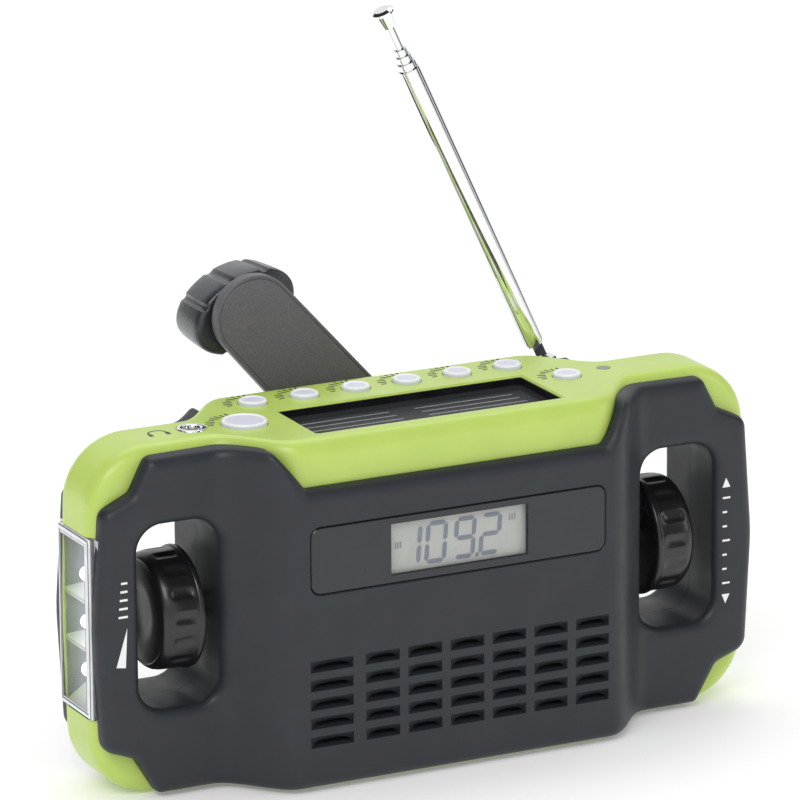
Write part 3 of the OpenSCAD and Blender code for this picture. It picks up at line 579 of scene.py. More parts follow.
def front_shell():
    """The front cover, with its window recess, display opening and grille."""
    piece = cover_shell("front_shell", -1)
    face = -COVER_MID
    carve(piece, [on_y(even_outline(WINDOW, 2.3, g), y)
                  for y, g in ((face - 0.6, 0.85), (face + 0.25, 0.0), (face + 1.3, 0.0))])
    carve(piece, [on_y(even_outline(DISPLAY, 0.3, 0.4), y) for y in (face - 1, face + 6)])
    steps = ((-0.3, -0.15), (0.0, 0.0), (1.5, 1.0), (6.0, 1.0))
    carve(piece, *[[on_y(louvre(x, z, width, t), face + y) for y, t in steps]
                   for x, z, width in grille_slots()], smooth=25)
    place(piece, CASE, "dark_cover", "front_cover")


GRILLE_HIGH = 2.6
GRILLE_PITCH = (10.38, 4.33)
GRILLE_START = (-36.6, 10.4)
GRILLE_WIDE, GRILLE_WIDTH = 10.4, 8.3  # slots of the first column, and the others
GRILLE_SECOND = 13.4  # from the start of the first column to the start of the second


def grille_slots():
    """Lower left corner and width of every slot: the first column is wider and stands apart."""
    x0, z0 = GRILLE_START
    columns = [(x0, GRILLE_WIDE)]
    columns += [(x0 + GRILLE_SECOND + GRILLE_PITCH[0] * i, GRILLE_WIDTH) for i in range(6)]
    return [(x, z0 + GRILLE_PITCH[1] * row, w) for x, w in columns for row in range(5)]


def louvre(x0, z0, width, t):
    """Outline of a slot between the face, t = 0, and its throat, t = 1, a low arch near the lower edge."""
    face, throat = [], []
    steps = 10
    shares = [k / steps for k in range(steps + 1)]
    for u in shares:
        face.append((x0 + u * width, z0))
        throat.append((x0 + 1.5 + u * (width - 1.8), z0 + 0.35))
    for u in reversed(shares):
        arch = math.sqrt(max(0.0, 1 - (2 * u - 1) ** 2))
        face.append((x0 + u * width, z0 + GRILLE_HIGH))
        throat.append((x0 + 1.5 + u * (width - 1.8), z0 + 0.45 + 0.95 * arch))
    face, throat = np.array(face), np.array(throat)
    return face + (throat - face) * t


HUB = spot("drive_gear", 2)
CRANK_ANGLE = math.radians(131.35)
ALONG = np.array([math.cos(CRANK_ANGLE), math.sin(CRANK_ANGLE)])
ACROSS = np.array([-ALONG[1], ALONG[0]])
KNOB_REACH, FOLD_REACH = 45.8, 33.8  # from the crank's axis to the knob's, open and folded
POCKET = np.array(HUB) - FOLD_REACH * ALONG
ARM_HALF = 9.65
POCKET_R = 13.4
POCKET_WALL = 1.4
SCREW_X, SCREW_Z = (-64, 64), (12, 70)


def crank_point(along, across):
    return np.array(HUB) + along * ALONG + across * ACROSS


def rear_shell():
    """The rear cover, with walls for the crank's hub, its folded knob and the antenna's foot."""
    piece = cover_shell("rear_shell", 1)
    face = COVER_MID
    stud_x = spot("antenna_stud")[0]
    join(piece, lathe_y(*POCKET, [(POCKET_R + POCKET_WALL, 6), (POCKET_R + POCKET_WALL, 22)]))
    join(piece, lathe_y(*HUB, [(6, 18.2), (6, 19.4), (11, 19.4), (11, 21.65)]))
    foot = [(-3.6, 18.5), (3.6, 11.5), (3.6, 20.4), (3.4, 20.6), (-3.4, 20.6), (-3.6, 20.4)]
    join(piece, [on_z([(stud_x + x, y) for x, y in foot], z) for z in (66, 76.4)])
    socket_low, socket_r = node_box("dc_socket")[0], 3.6
    carve(piece, lathe_y(*HUB, [(3.1, 10), (3.1, 21.9), (9.6, 21.9), (9.6, face - 0.25), (10.5, face + 0.6)]),
          lathe_y(socket_low[0] + socket_r, socket_low[2] + socket_r,
                  [(3.1, 15), (3.1, face - 0.3), (4.0, face + 0.6)], 48))
    carve(piece, lathe_y(*POCKET, [(POCKET_R, 7.2), (POCKET_R, face - 0.3), (POCKET_R + 0.9, face + 0.6)]))
    channel = stadium(3, -FOLD_REACH, ARM_HALF + 1)
    wide = stadium(3.7, -FOLD_REACH, ARM_HALF + 1.9)
    carve(piece, [on_y(channel, 23.5), on_y(channel, face - 0.25), on_y(wide, face + 0.65)])
    door = front_box("battery_door", 0.3)
    steps = ((15, -1.2), (23.4, -1.2), (23.4, 0), (face - 0.25, 0), (face + 0.6, 0.85))
    antenna_ledge = box_rings((-52, 21.3, 71.2), (42.6, 30, 82))
    carve(piece, [on_y(even_outline(door, 1.0, g), y) for y, g in steps], antenna_ledge)
    carve(piece, lathe_y(stud_x, 74, [(3.6, 20.6), (3.6, 30)], 48))
    screw_hole = [(1.5, 5), (1.5, 9.6), (2.6, 9.6), (2.6, 12.1), (3.4, 13.2)]
    carve(piece, *[lathe_y(x, z, screw_hole, 32) for x in SCREW_X for z in SCREW_Z])
    place(piece, CASE, "dark_cover", "rear_cover")


def stadium(start, end, half):
    """Outline in the crank's own frame: square at start, round at end, as points in X and Z."""
    turn = -1 if end < start else 1
    arc = [(end + turn * half * math.cos(a), half * math.sin(a))
           for a in np.linspace(-math.pi / 2, math.pi / 2, 33)]
    points = [(start, -half)] + arc + [(start, half)]
    return np.array([crank_point(a, b) for a, b in points])


def green_shell():
    """The green middle shell with its deck, hollow inside and open to both covers."""
    holes = [slot_outline(s, LIP + 0.1) for s in (-1, 1)]
    free = grid(2.0, 4.0)
    free = free[inside(free, GREEN_OUTLINE) & (distance(free, GREEN_OUTLINE) > GREEN_EDGE + 0.5)]
    extra = np.concatenate([free, edge_rings(GREEN_OUTLINE, GREEN_EDGE, 1)])
    flat, faces = fill([GREEN_OUTLINE] + holes, extra)
    height = green_depth(flat[:, 0]) - drop(distance(flat, GREEN_OUTLINE), GREEN_EDGE)
    shell = Solid()
    for side in (-1, 1):
        shell.add([(p[0], side * h, p[1]) for p, h in zip(flat, height)], faces)
    shell.strip(on_y(GREEN_OUTLINE, lambda x: -(green_depth(x) - GREEN_EDGE)),
                on_y(GREEN_OUTLINE, lambda x: green_depth(x) - GREEN_EDGE))
    for hole in holes:
        shell.strip(on_y(hole, lambda x: -green_depth(x)), on_y(hole, green_depth))
    piece = shell.object("green_shell", [GREEN])
    quarter = [(37, 19.5), (40.5, 16.8), (44.5, 12.6), (48, 8.4)]
    half = quarter + [(x, -y) for x, y in reversed(quarter)]
    plan = half + [(-x, y) for x, y in reversed(half)]
    carve(piece, [on_z(plan, 2.2), on_z(plan, 72.4)])
    window_room = box_rings((-35.5, -30, 44), (35.5, -15, 61.5))
    speaker_room = box_rings((-37.2, -30, 8.6), (37.2, -15, 35))
    rear_room = box_rings((-36.4, 15, 3), (36.4, 30, 67))
    carve(piece, window_room, speaker_room, rear_room)
    pocket_wall = POCKET_R + POCKET_WALL + 0.1
    carve(piece, lathe_y(*POCKET, [(pocket_wall, 5), (pocket_wall, 30)]))
    rim = ((74.2, 0), (BODY_H - 0.4, 0), (BODY_H + 0.5, 0.9))
    drilled = [lathe_z(x, y, [(r, 72.6), (r, BODY_H - 0.25), (r + 0.8, BODY_H + 0.55)])
               for x, y, r in deck_holes()]
    torch_room = box_rings((-83, -10.06, 18.5), (-74.1, 10.06, 60))
    carve(piece, [on_z(even_outline(solar_well(0.15), 0.6, g), z) for z, g in rim], torch_room, *drilled)
    place(piece, CASE, "green_shell", "centre_housing")


BUTTONS = [name + "_button" for name in "torch alarm_set time_set alarm hour minute light band".split()]


def button_radius(node):
    low, high = node_box(node)
    return (high[0] - low[0]) / 2 - 0.9


def deck_holes():
    """Centre and radius of each hole in the deck."""
    holes = [(*spot(name), button_radius(name) + 0.12) for name in BUTTONS]
    return holes + [(*spot("headphone_socket"), 3.35), (*spot("charge_led"), 1.5)]


# --- Display ---

def window_plate():
    """Smoked plate over the display, with a clear pane in it."""
    low, high = node_box("display_window")
    box = front_box("display_window")
    front, back = low[1], high[1]
    outer, rim = even_outline(box, 2.2), even_outline(box, 2.2, -0.2)
    pane = even_outline(DISPLAY, 0.2)
    plate = Solid()
    plate.strip(on_y(outer, back), on_y(outer, front + 0.2))
    plate.strip(on_y(outer, front + 0.2), on_y(rim, front))
    for loop, y in ((rim, front), (outer, back)):
        flat, faces = fill([loop, pane], [])
        plate.add([(p[0], y, p[1]) for p in flat], faces)
        plate.add(on_y(pane, y), [tuple(range(len(pane)))], 1)
    piece = plate.object("window_plate", [WINDOW_PRINT, PANE])
    place(piece, CASE, "smoked_window", "display_window")


SEGMENTS = {"0": "abcdef", "1": "bc", "2": "abged", "9": "abcdfg"}


def bar(x0, z0, x1, z1, width):
    """Outline of a display segment from one point to another, pointed at both ends."""
    a, b = np.array((x0, z0)), np.array((x1, z1))
    u = (b - a) / np.linalg.norm(b - a)
    v = np.array((-u[1], u[0])) * width / 2
    h = width / 2
    return [a, a + u * h - v, b - u * h - v, b, b - u * h + v, a + u * h + v]


def display_panel():
    """Grey display glass with digits in raised segments, and small bars in place of unit letters."""
    low, high = node_box("lcd_panel")
    panel = Solid()
    panel.box(low, high)
    front = low[1]
    digit_w, digit_h, stroke, base, gap = 4.3, 8.6, 1.05, 48.5, 0.14
    slant = 0.08
    half = digit_h / 2
    lines = {"a": (0, digit_h, digit_w, digit_h), "b": (digit_w, half, digit_w, digit_h),
             "c": (digit_w, 0, digit_w, half), "d": (0, 0, digit_w, 0), "e": (0, 0, 0, half),
             "f": (0, half, 0, digit_h), "g": (0, half, digit_w, half)}

    def mark(points):
        moved = np.array([(x + (z - base) * slant, z) for x, z in points])
        panel.loft([on_y(moved, front - 0.06), on_y(moved, front + 0.1)], 1)

    def block(x, z, width, height):
        mark([(x, z), (x + width, z), (x + width, z + height), (x, z + height)])

    for start, digit in ((-13.9, "1"), (-7.6, "0"), (-0.6, "9"), (5.7, "2")):
        for name in SEGMENTS[digit]:
            x0, z0, x1, z1 = lines[name]
            u = np.array((x1 - x0, z1 - z0), float)
            u = u / np.linalg.norm(u) * gap
            mark(bar(start + x0 + u[0], base + z0 + u[1], start + x1 - u[0], base + z1 - u[1], stroke))
    block(4.5, base - 0.5, 0.8, 0.9)
    for x, z in ((-15.6, 52.6), (12.2, 55.2)):
        for k in range(3):
            block(x + 0.62 * k, z, 0.28, 1.4)
    piece = panel.object("display_panel", [LCD, DIGIT])
    place(piece, CASE, "display_glass", "lcd_panel")


# --- Deck ---

def button_cap(node):
    """Button with a stem, a flange under the deck and a raised rim round its dished top, painted white as a
    highlight.
    """
    low, high = node_box(node)
    x, y = spot(node)
    r = button_radius(node)
    top = high[2]
    flange_low, flange_high = 75.9, 76.55
    cap = Solid()
    profile = [(0.001, low[2]), (1.3, low[2]), (1.3, flange_low), (r + 0.9, flange_low),
               (r + 0.9, flange_high), (r, flange_high), (r, top - 0.42), (r - 0.12, top - 0.16),
               (r - 0.34, top), (r - 0.62, top - 0.02), (r - 0.9, top - 0.2), (r - 1.3, top - 0.22),
               (r * 0.4, top - 0.14), (0.001, top - 0.12)]
    # the bands over the rim's crest take the painted highlight
    cap.loft(lathe_z(x, y, profile), slots=[0] * 6 + [1] * 4 + [0] * 3)
    piece = cap.object(node + "_cap", [BUTTON, BUTTON_RIM_HIGHLIGHT], 50)
    place(piece, node, "button_grey", node)


def solar_panel():
    """Two dark cells with fine contact lines, inside a dark frame that lines the deck's opening."""
    low, high = node_box("solar_cell")
    cell = Solid()
    cell.box(low, high)
    width, depth = high[0] - low[0], high[1] - low[1]
    top = high[2]
    for half in (0, 1):
        x0 = low[0] + 1.6 + half * (width / 2 + 0.7)
        x1 = x0 + width / 2 - 4.4
        for k in range(6):
            y = low[1] + depth * (k + 0.8) / 6.6
            shift = 0.35 * (5 - k)
            cell.box((x0 + shift, y, top - 0.02), (x1 + shift - 1.2, y + 0.26, top + 0.04), 1)
        cell.box((low[0] + half * width / 2 + 0.3, low[1] + 0.35, top - 0.02),
                 (low[0] + (half + 1) * width / 2 - 0.3, low[1] + 0.6, top + 0.03), 2)
    rim = BODY_H - 0.45
    wall = [on_z(even_outline(solar_well(0.13), 0.6, g), z)
            for g, z in ((0, top), (0, rim), (-0.3, rim), (-0.3, top), (0, top))]
    cell.loft(wall, caps=False)
    piece = cell.object("solar_panel", [SILICON, SILVER_LINE, DARK_DEEP])
    place(piece, CASE, "solar_silicon", "solar_cell")


def socket_ring():
    """Bright collar of the headphone socket, with its contact and a black floor inside."""
    low, high = node_box("headphone_socket")
    x, y = spot("headphone_socket")
    top, floor = high[2], low[2] + 1.2
    profile = [(3.0, low[2]), (3.0, top - 0.7), (3.3, top - 0.7), (3.3, top - 0.15), (3.15, top), (2.2, top),
               (1.95, top - 0.15), (1.8, top - 0.4), (1.8, top - 3.0), (1.8, floor), (0.001, floor)]
    ring = Solid()
    ring.loft(lathe_z(x, y, profile), slots=[0] * 7 + [1, 2, 2])
    piece = ring.object("socket_ring", [CHROME, STEEL, COMPONENT], 50)
    place(piece, CASE, "socket_white", "headphone_socket")


# --- Thumb wheels ---

def thumb_wheel(name, body, node, side):
    """Black wheel with short flutes in its rim; side is -1 for the left wheel and 1 for the right one."""
    low, high = node_box(node)
    inner, outer = (low[0], high[0]) if side > 0 else (-high[0], -low[0])
    r = (high[2] - low[2]) / 2
    width = outer - inner
    flutes, parts, flute_depth, flute_share = 15, 12, 0.42, 0.2
    count = flutes * parts
    band = r - 0.42
    # distance from the inner face, radius, share of the flutes' depth; then the same from the outer face
    profile = [(0.0, 3.0, 0), (0.0, r - 1.4, 0), (0.15, r - 0.6, 0), (0.5, r - 0.12, 0), (0.9, r, 0),
               (1.3, r, 0), (1.65, r - 0.12, 0), (1.85, r - 0.4, 0), (2.3, band, 0), (2.7, band, 0.55),
               (3.1, band, 0.9), (4.0, band, 1)]
    tail = ((4.4, band, 1), (3.5, r - 0.45, 0.9), (3.0, r - 0.5, 0.5), (2.6, r - 0.55, 0), (1.7, r - 0.75, 0),
            (1.0, r - 1.15, 0), (0.5, r - 1.7, 0), (0.42, r - 1.9, 0), (0.62, r - 2.1, 0), (0.62, r - 2.3, 0),
            (0.3, r - 3.2, 0), (0.1, 9.0, 0), (0.0, 7.6, 0), (0.0, 5.2, 0), (0.15, 5.0, 0), (0.15, 0.01, 0))
    profile += [(width - x, radius, flute) for x, radius, flute in tail]
    face_from = 21
    slots = [1 if k >= face_from else 0 for k in range(len(profile))]
    rings = []
    for x, radius, flute in profile:
        ring = []
        for k in range(count):
            a = 2 * math.pi * k / count
            phase = (k % parts) / parts - 0.5
            scoop = max(0.0, 1 - (phase / flute_share) ** 2)
            d = radius - flute_depth * flute * math.sqrt(scoop)
            ring.append((side * (inner + x), d * math.sin(a), WHEEL_Z + d * math.cos(a)))
        rings.append(ring)
    wheel = Solid()
    wheel.loft(rings, slots=slots)
    piece = wheel.object(name, [BLACK_GLOSS, WHEEL_FACE], 50)
    place(piece, body, "wheel_black", node)


# --- Crank ---

def on_crank(points, ys):
    """Points (along, across) of the crank's own frame, each at its depth."""
    return [(crank_point(a, b)[0], y, crank_point(a, b)[1]) for (a, b), y in zip(points, ys)]


def crank_plate():
    """The arm: a flat plate with a groove along its edge, a boss for the knob's pin and a hinge knuckle."""
    front, back = 28.0, 31.0
    root, root_half = 8.6, 10.15
    arc = [(KNOB_REACH + ARM_HALF * math.cos(a), ARM_HALF * math.sin(a))
           for a in np.linspace(-math.pi / 2, math.pi / 2, 49)]
    side_steps = 30
    lower = [(root + (KNOB_REACH - root) * k / side_steps,
              -root_half + (root_half - ARM_HALF) * k / side_steps) for k in range(side_steps)]
    upper = [(a, -b) for a, b in reversed(lower)]
    outline = np.array(lower + arc + upper)
    edge, groove_at = 0.4, 0.86
    rings = edge_rings(outline, edge, 1)
    steps = (0.62, 0.74, groove_at, 0.98, 1.1, 1.25)
    groove = [inset(outline, d, 1) for d in steps]
    groove = np.concatenate([g[distance(g, outline) > d * 0.985] for g, d in zip(groove, steps)])
    free = np.array([(a, b) for a in np.arange(root + 4, KNOB_REACH + ARM_HALF, 2.5)
                     for b in np.arange(-8, 8.1, 2.0)])
    free = free[inside(free, outline) & (distance(free, outline) > 3.2)]
    flat, faces = fill([outline], np.concatenate([rings, groove, free]))
    gap = distance(flat, outline)
    dip = 0.22 * np.exp(-((gap - groove_at) / 0.13) ** 2)
    plate = Solid()
    plate.add(on_crank(flat, front + drop(gap, edge) + dip), faces)
    plate.add(on_crank(flat, back - drop(gap, edge)), faces)
    plate.strip(*[on_crank(outline, [y] * len(outline)) for y in (front + edge, back - edge)])
    piece = plate.object("crank_plate", [ARM], 45)
    join(piece, lathe_y(*crank_point(KNOB_REACH, 0), [(6, 30), (6, 32.6), (5.8, 32.8)]))
    hinge, hinge_y, knuckle_r, half = 6.0, 27.4, 2.1, 2.4
    turn = np.linspace(0, 2 * math.pi, 33)[:-1]
    tongue = ((hinge, 28.0), (root + 1.5, 28.4), (root + 1.5, 29.5), (hinge, 29.5))
    join(piece, [on_crank([(hinge + knuckle_r * math.cos(a), across) for a in turn],
                          [hinge_y + knuckle_r * math.sin(a) for a in turn]) for across in (-half, half)],
         [on_crank([(a, across) for a, _ in tongue], [y for _, y in tongue]) for across in (-half, half)])
    place(piece, "crank_arm", "crank_dark", "crank_arm")


KNOB_LONG, KNOB_SHORT = 13.0, 8.4
KNOB_TURN = math.radians(74.6) + CRANK_ANGLE


def crank_grip():
    """Oval knob with three finger grooves on each long side, a little narrower at its free end."""
    low, high = node_box("crank_knob")
    knob = crank_point(KNOB_REACH, 0)
    front, back = low[1], high[1]
    count = 240
    groove_angle, groove_half, groove_depth = 40, 5, 0.62
    # distance from the free end, how much smaller, share of the grooves' depth
    profile = [(0.0, 1.6, 0), (0.05, 0.9, 0.3), (0.3, 0.4, 0.7), (0.8, 0.1, 1), (1.4, 0.0, 1), (3.0, 0.02, 1),
               (6.0, 0.15, 1), (9.0, 0.35, 1), (11.6, 0.55, 1), (12.6, 0.75, 0.9), (13.3, 1.15, 0.6),
               (13.75, 1.7, 0.3), (14.0, 2.5, 0.0)]
    length = profile[-1][0]
    turn_cos, turn_sin = math.cos(KNOB_TURN), math.sin(KNOB_TURN)
    rings = []
    for y, shrink, grooved in profile:
        ring = []
        for k in range(count):
            t = 2 * math.pi * k / count
            side = abs(math.degrees(t) % 180 - 90)
            off = min(side, abs(side - groove_angle))
            dip = groove_depth * grooved * max(0.0, 1 - (off / groove_half) ** 2) ** 0.7
            a = (KNOB_LONG - shrink - dip) * math.cos(t)
            b = (KNOB_SHORT - shrink - dip) * math.sin(t)
            ring.append((knob[0] + a * turn_cos - b * turn_sin, front + y * (back - front) / length,
                         knob[1] + a * turn_sin + b * turn_cos))
        rings.append(ring)
    grip = Solid()
    grip.loft(rings)
    piece = grip.object("crank_grip", [KNOB], 40)
    bore = [(2.05, front - 1), (2.05, back - 3), (4.2, back - 3), (4.2, back - 0.2), (4.6, back + 0.3)]
    carve(piece, lathe_y(*knob, bore, 48), smooth=40)
    place(piece, "crank_knob", "crank_knob", "crank_knob")


# --- Torch ---

def torch_cover():
    """Clear cover of the torch: a thin pane in a stepped rim, whose edges carry painted dark lines and
    painted highlights.
    """
    low, high = node_box("torch_lens")
    box = (-high[1], low[2], high[1], high[2])
    x_out, x_in = low[0], high[0]
    pane = x_out + 0.1
    # each step: depth, growth of the outline, material (1 a painted dark line, 2 a painted highlight)
    steps = [(x_in, 0.0, 1), (x_out + 1.0, 0.0, 1), (x_out + 0.75, -0.12, 2), (x_out + 0.35, -0.3, 1),
             (x_out + 0.2, -0.55, 2), (pane, -1.3, 1), (x_out + 0.22, -1.55, 2), (pane, -1.85, 1),
             (pane, -2.1, 0)]
    rings = [[(x, y, z) for y, z in even_outline(box, 0.8, grow)] for x, grow, _ in steps]
    cover = Solid()
    cover.loft(rings, slots=[slot for _, _, slot in steps], caps=False)
    for ring in (rings[-1], rings[0]):
        cover.add(ring, [tuple(range(len(ring)))])
    piece = cover.object("torch_cover", [TORCH_LENS, LENS_PAINTED_DARK_LINE, LENS_PAINTED_HIGHLIGHT], 20)
    place(piece, CASE, "clear_plastic", "torch_lens")


def square(x, half, z0, z1):
    return [(x, -half, z0), (x, half, z0), (x, half, z1), (x, -half, z1)]


def torch_funnels():
    """Silver liner with a four-sided funnel round each LED, whose rear facets carry a darker grey as painted
    shade.
    """
    low, high = node_box("torch_reflector")
    led_low, led_high = node_box("torch_leds")
    x_back = high[0]
    x_face = node_box("torch_lens")[1][0] + 0.02
    middle, pitch = (led_low[2] + led_high[2]) / 2, 10.9
    half, half_bay, half_throat = 9.95, 8.0, 2.4
    edges = [low[2] - 0.15, middle - pitch / 2, middle + pitch / 2, high[2] + 0.15]
    liner = Solid()
    for bay in range(3):
        z0, z1 = edges[bay], edges[bay + 1]
        centre = middle + pitch * (bay - 1)
        mouth = square(x_face, half, z0 + 0.1, z1 - 0.1)
        waist = square(x_face + 0.05, half_bay, z0 + 0.6, z1 - 0.6)
        throat = square(x_back - 0.4, half_throat, centre - half_throat, centre + half_throat)
        rear = square(x_back, half, z0 + 0.1, z1 - 0.1)
        hole = square(x_back, half_throat, centre - half_throat, centre + half_throat)
        liner.loft([throat, hole, rear, mouth, waist], caps=False)
        for k in range(4):
            after = (k + 1) % 4
            # the rear facet, k == 1, takes the darker grey of painted shade
            liner.add([waist[k], waist[after], throat[after], throat[k]], [(0, 1, 2, 3)], 1 if k == 1 else 0)
    piece = liner.object("torch_funnels", [SILVER, SILVER_PAINTED_SHADE], 10)
    place(piece, CASE, "reflector_chrome", "torch_reflector")


# --- Battery door ---

def door_plate():
    """Battery door: a stepped plate with five grip lines."""
    low, high = node_box("battery_door")
    box = front_box("battery_door")
    front, back, step = low[1], high[1], 23.5
    door = Solid()
    door.loft([on_y(even_outline(box, 1.0, g), y)
               for g, y in ((-1.2, front), (-1.2, step), (0, step), (0, back - 0.3), (-0.3, back))])
    piece = door.object("door_plate", [DARK], 30)
    x = (low[0] + high[0]) / 2
    lines = [high[2] - 3.0 - 1.5 * k for k in range(5)]
    rings = [even_outline((x - 7, z - 0.4, x + 7, z + 0.4), 0.38, 0, 5) for z in lines]
    carve(piece, *[[on_y(ring, back - 0.5), on_y(ring, back + 1)] for ring in rings], smooth=30)
    place(piece, "battery_door", "dark_cover", "battery_door")


# --- Printed marks ---

def cover_marks():
    """Wedge and ticks beside the volume wheel, and two arrowheads with a scale beside the tuning wheel."""
    marks = Solid()

    def mark(points):
        marks.loft([[(x, offset - cover_depth(x), z) for x, z in points] for offset in (-0.03, 0.1)])

    mark([(-77.1, 31.6), (-74.9, 31.3), (-74.4, 40.2)])
    tick = 0.5
    for k in range(5):
        x, z = -76.4 + 0.18 * k, 42.6 + 1.9 * k
        mark([(x, z), (-74.2, z), (-74.2, z + tick), (x, z + tick)])
    for tip, base in ((53.4, 51.2), (23.8, 26.0)):
        mark([(73.6, tip), (72.7, base), (74.7, base)])
    tick = 0.45
    for k in range(7):
        x, z = 72.8, 28.4 + 3.35 * k
        end = x + (1.9 if k % 3 == 0 else 1.1)
        mark([(x, z), (end, z), (end, z + tick), (x, z + tick)])
    piece = marks.object("cover_marks", [PRINT_WHITE], 20)
    place(piece, CASE, "socket_white")


def deck_marks():
    """Short dashes on an arc behind each button, and a headphone sign beside the socket."""
    marks = Solid()

    def dash(cx, cy, angle, length, width):
        u = np.array((math.cos(angle), math.sin(angle))) * length / 2
        v = np.array((-math.sin(angle), math.cos(angle))) * width / 2
        c = np.array((cx, cy))
        loop = [c - u - v, c + u - v, c + u + v, c - u + v]
        marks.loft([on_z(loop, BODY_H - 0.05), on_z(loop, BODY_H + 0.03)])

    dashes, middle = 8, 132
    for node in BUTTONS:
        x, y = spot(node)
        r = button_radius(node) + 2.5
        step = 78.4 / r  # degrees, for dashes 1.37 mm apart
        for k in range(dashes):
            a = math.radians(middle + ((dashes - 1) / 2 - k) * step)
            at = (x + r * math.cos(a), y + r * math.sin(a))
            if at[1] < green_depth(at[0]) - GREEN_EDGE - 0.6:
                dash(*at, a, 2.0 if k % 3 else 1.3, 0.5)
    socket_x, socket_y = spot("headphone_socket")
    x, y = socket_x - 8.2, socket_y - 0.3
    steps, band_r = 14, 2.1
    for k in range(steps):
        a = math.pi * (k + 0.5) / steps
        dash(x + band_r * math.cos(a), y + band_r * math.sin(a), a + math.pi / 2, 0.5, 0.4)
    for side in (-1, 1):
        dash(x + side * 2.05, y - 0.75, math.pi / 2, 1.7, 0.95)
    piece = marks.object("deck_marks", [PRINT_DARK], 20)
    place(piece, CASE, "component_black")


# --- CAD nodes that stay, with their materials ---

KEPT = (
    (PANE, "solar_window"),
    (WHITE, "lcd_backlight lcd_holder"),
    (GLOW, "torch_leds"),
    (PCB, "torch_board button_board main_board"),
    (COMPONENT, "tact_switches board_chips battery_tray dc_socket"),
    (PAPER, "dust_screen speaker_cone"),
    (FERRITE, "speaker_magnet"),
    (SLEEVE, "battery_cells"),
    (LED_GLOSS, "charge_led"),
    (STEEL, "speaker_frame volume_control tuning_control volume_shaft tuning_shaft dynamo_body gearbox_plate "
            "case_screws crank_spindle crank_hinge_pin crank_knob_pin"),
    (ACETAL, "drive_gear idler_gear"),
    (BRASS, "dynamo_gear"),
    (ARM, "crank_hub"),
    (CHROME, "antenna_stud antenna_hinge_pin antenna_tube_1 antenna_tube_2 antenna_tube_3 antenna_tube_4 "
             "antenna_rod"),
)


def finish_kept():
    for material, names in KEPT:
        for name in names.split():
            slots = nodes[name].data.materials
            slots.clear()
            slots.append(material)


# --- Stage, lights and camera ---

def operate(tree, kind, operation, *values):
    """Math node of a kind, fed by sockets or plain values."""
    node = new_node(tree, kind)
    node.operation = operation
    for entry, value in zip(node.inputs, values):
        if isinstance(value, bpy.types.NodeSocket):
            tree.links.new(value, entry)
        else:
            entry.default_value = value
    return node.outputs["Value"]


def flags(tree):
    """White surround with two upright black flags, which give polished metal its dark streaks."""
    direction = new_node(tree, "TexCoord").outputs["Generated"]
    darkest = 1.0
    for azimuth, half_width in ((190, 13), (318, 33)):  # degrees
        across = math.radians(azimuth + 90)
        side = (math.cos(across), math.sin(across), 0)
        along = operate(tree, "VectorMath", "DOT_PRODUCT", direction, side)
        away = operate(tree, "Math", "ABSOLUTE", along)
        edge = math.sin(math.radians(half_width))
        level = between(tree, away, edge * 0.75, edge, 0.03, 0.95)
        darkest = operate(tree, "Math", "MINIMUM", darkest, level)
    return darkest


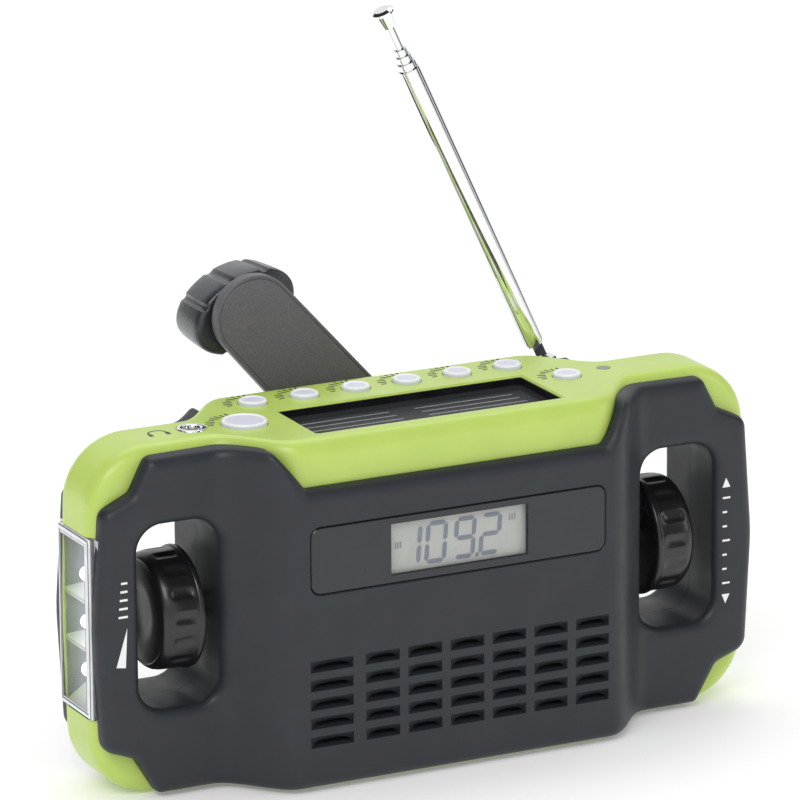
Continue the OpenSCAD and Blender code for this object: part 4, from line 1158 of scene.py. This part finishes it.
def studio():
    """White floor, white surround and three soft lights."""
    reach = 6.0
    floor_mesh = bpy.data.meshes.new("floor")
    floor_mesh.from_pydata([(x * reach, y * reach, 0) for x, y in ((-1, -1), (1, -1), (1, 1), (-1, 1))], [],
                           [(0, 1, 2, 3)])
    floor = new_object("floor", floor_mesh)
    floor.location = (0, 0, -0.0002)
    white = surface("floor_white", (0.95, 0.95, 0.95), 0.7, vary=0.01, patch=200, grain=0.0, specular=0.1)
    shader = white.node_tree.nodes["Principled BSDF"]
    shader.inputs["Emission Color"].default_value = (1, 1, 1, 1)
    shader.inputs["Emission Strength"].default_value = 0.16
    floor_mesh.materials.append(white)
    world = bpy.data.worlds.new("studio")
    bpy.context.scene.world = world
    world.use_nodes = True
    tree = world.node_tree
    light_sky = tree.nodes["Background"]
    light_sky.inputs["Strength"].default_value = 0.62
    seen_sky = new_node(tree, "Background")
    for sky in (light_sky, seen_sky):
        sky.inputs["Color"].default_value = (1, 1, 1, 1)
    glossy_sky = new_node(tree, "Background")
    glossy_sky.inputs["Strength"].default_value = 0.9
    tree.links.new(flags(tree), glossy_sky.inputs["Color"])
    ray = new_node(tree, "LightPath")
    result = light_sky.outputs["Background"]
    for kind, sky in (("Is Glossy Ray", glossy_sky), ("Is Camera Ray", seen_sky)):
        pick = new_node(tree, "MixShader")
        tree.links.new(ray.outputs[kind], pick.inputs["Fac"])
        tree.links.new(result, pick.inputs[1])
        tree.links.new(sky.outputs["Background"], pick.inputs[2])
        result = pick.outputs["Shader"]
    tree.links.new(result, tree.nodes["World Output"].inputs["Surface"])
    aim = Vector((0, 0, 0.05))
    for name, stand, size, watts in (("key", (-0.9, -1.0, 1.3), (0.9, 0.7), 9),
                                     ("fill", (1.2, -0.9, 0.6), (0.5, 0.9), 3),
                                     ("top", (0.1, 0.5, 1.4), (1.2, 0.8), 6)):
        data = bpy.data.lights.new(name, "AREA")
        data.shape = "RECTANGLE"
        data.size, data.size_y = size
        data.energy = watts
        light = new_object(name, data)
        light.location = stand
        light.rotation_euler = (aim - Vector(stand)).to_track_quat("-Z", "Y").to_euler()


def camera():
    """Long lens from the front left, a little above."""
    data = bpy.data.cameras.new("camera")
    data.lens = 293.6
    data.sensor_width = 36.0
    data.clip_end = 20.0
    azimuth, elevation, roll = math.radians(-26.57), math.radians(16.05), math.radians(-0.35)
    back = Vector((math.sin(azimuth) * math.cos(elevation), -math.cos(azimuth) * math.cos(elevation),
                   math.sin(elevation)))
    level = Vector((math.cos(azimuth), math.sin(azimuth), 0))
    rise = back.cross(level)
    right = level * math.cos(roll) + rise * math.sin(roll)
    up = back.cross(right)
    target = Vector((0, -6, 79)) * MM
    away, aside, above = 1434.07, 4.505, 0.813  # from the target, in the camera's own directions
    cam = new_object("camera", data)
    cam.matrix_world = Matrix((right, up, back)).transposed().to_4x4()
    cam.location = target + (back * away - right * aside + up * above) * MM
    bpy.context.scene.camera = cam
    bpy.context.scene.view_settings.view_transform = "Standard"


for build in (camera, studio, front_shell, rear_shell, green_shell, window_plate, display_panel, solar_panel,
              socket_ring):
    build()
for button in BUTTONS:
    button_cap(button)
thumb_wheel("volume_grip", "volume", "volume_wheel", -1)
thumb_wheel("tuning_grip", "tuning", "tuning_wheel", 1)
for build in (crank_plate, crank_grip, torch_cover, torch_funnels, door_plate, cover_marks, deck_marks,
              finish_kept):
    build()
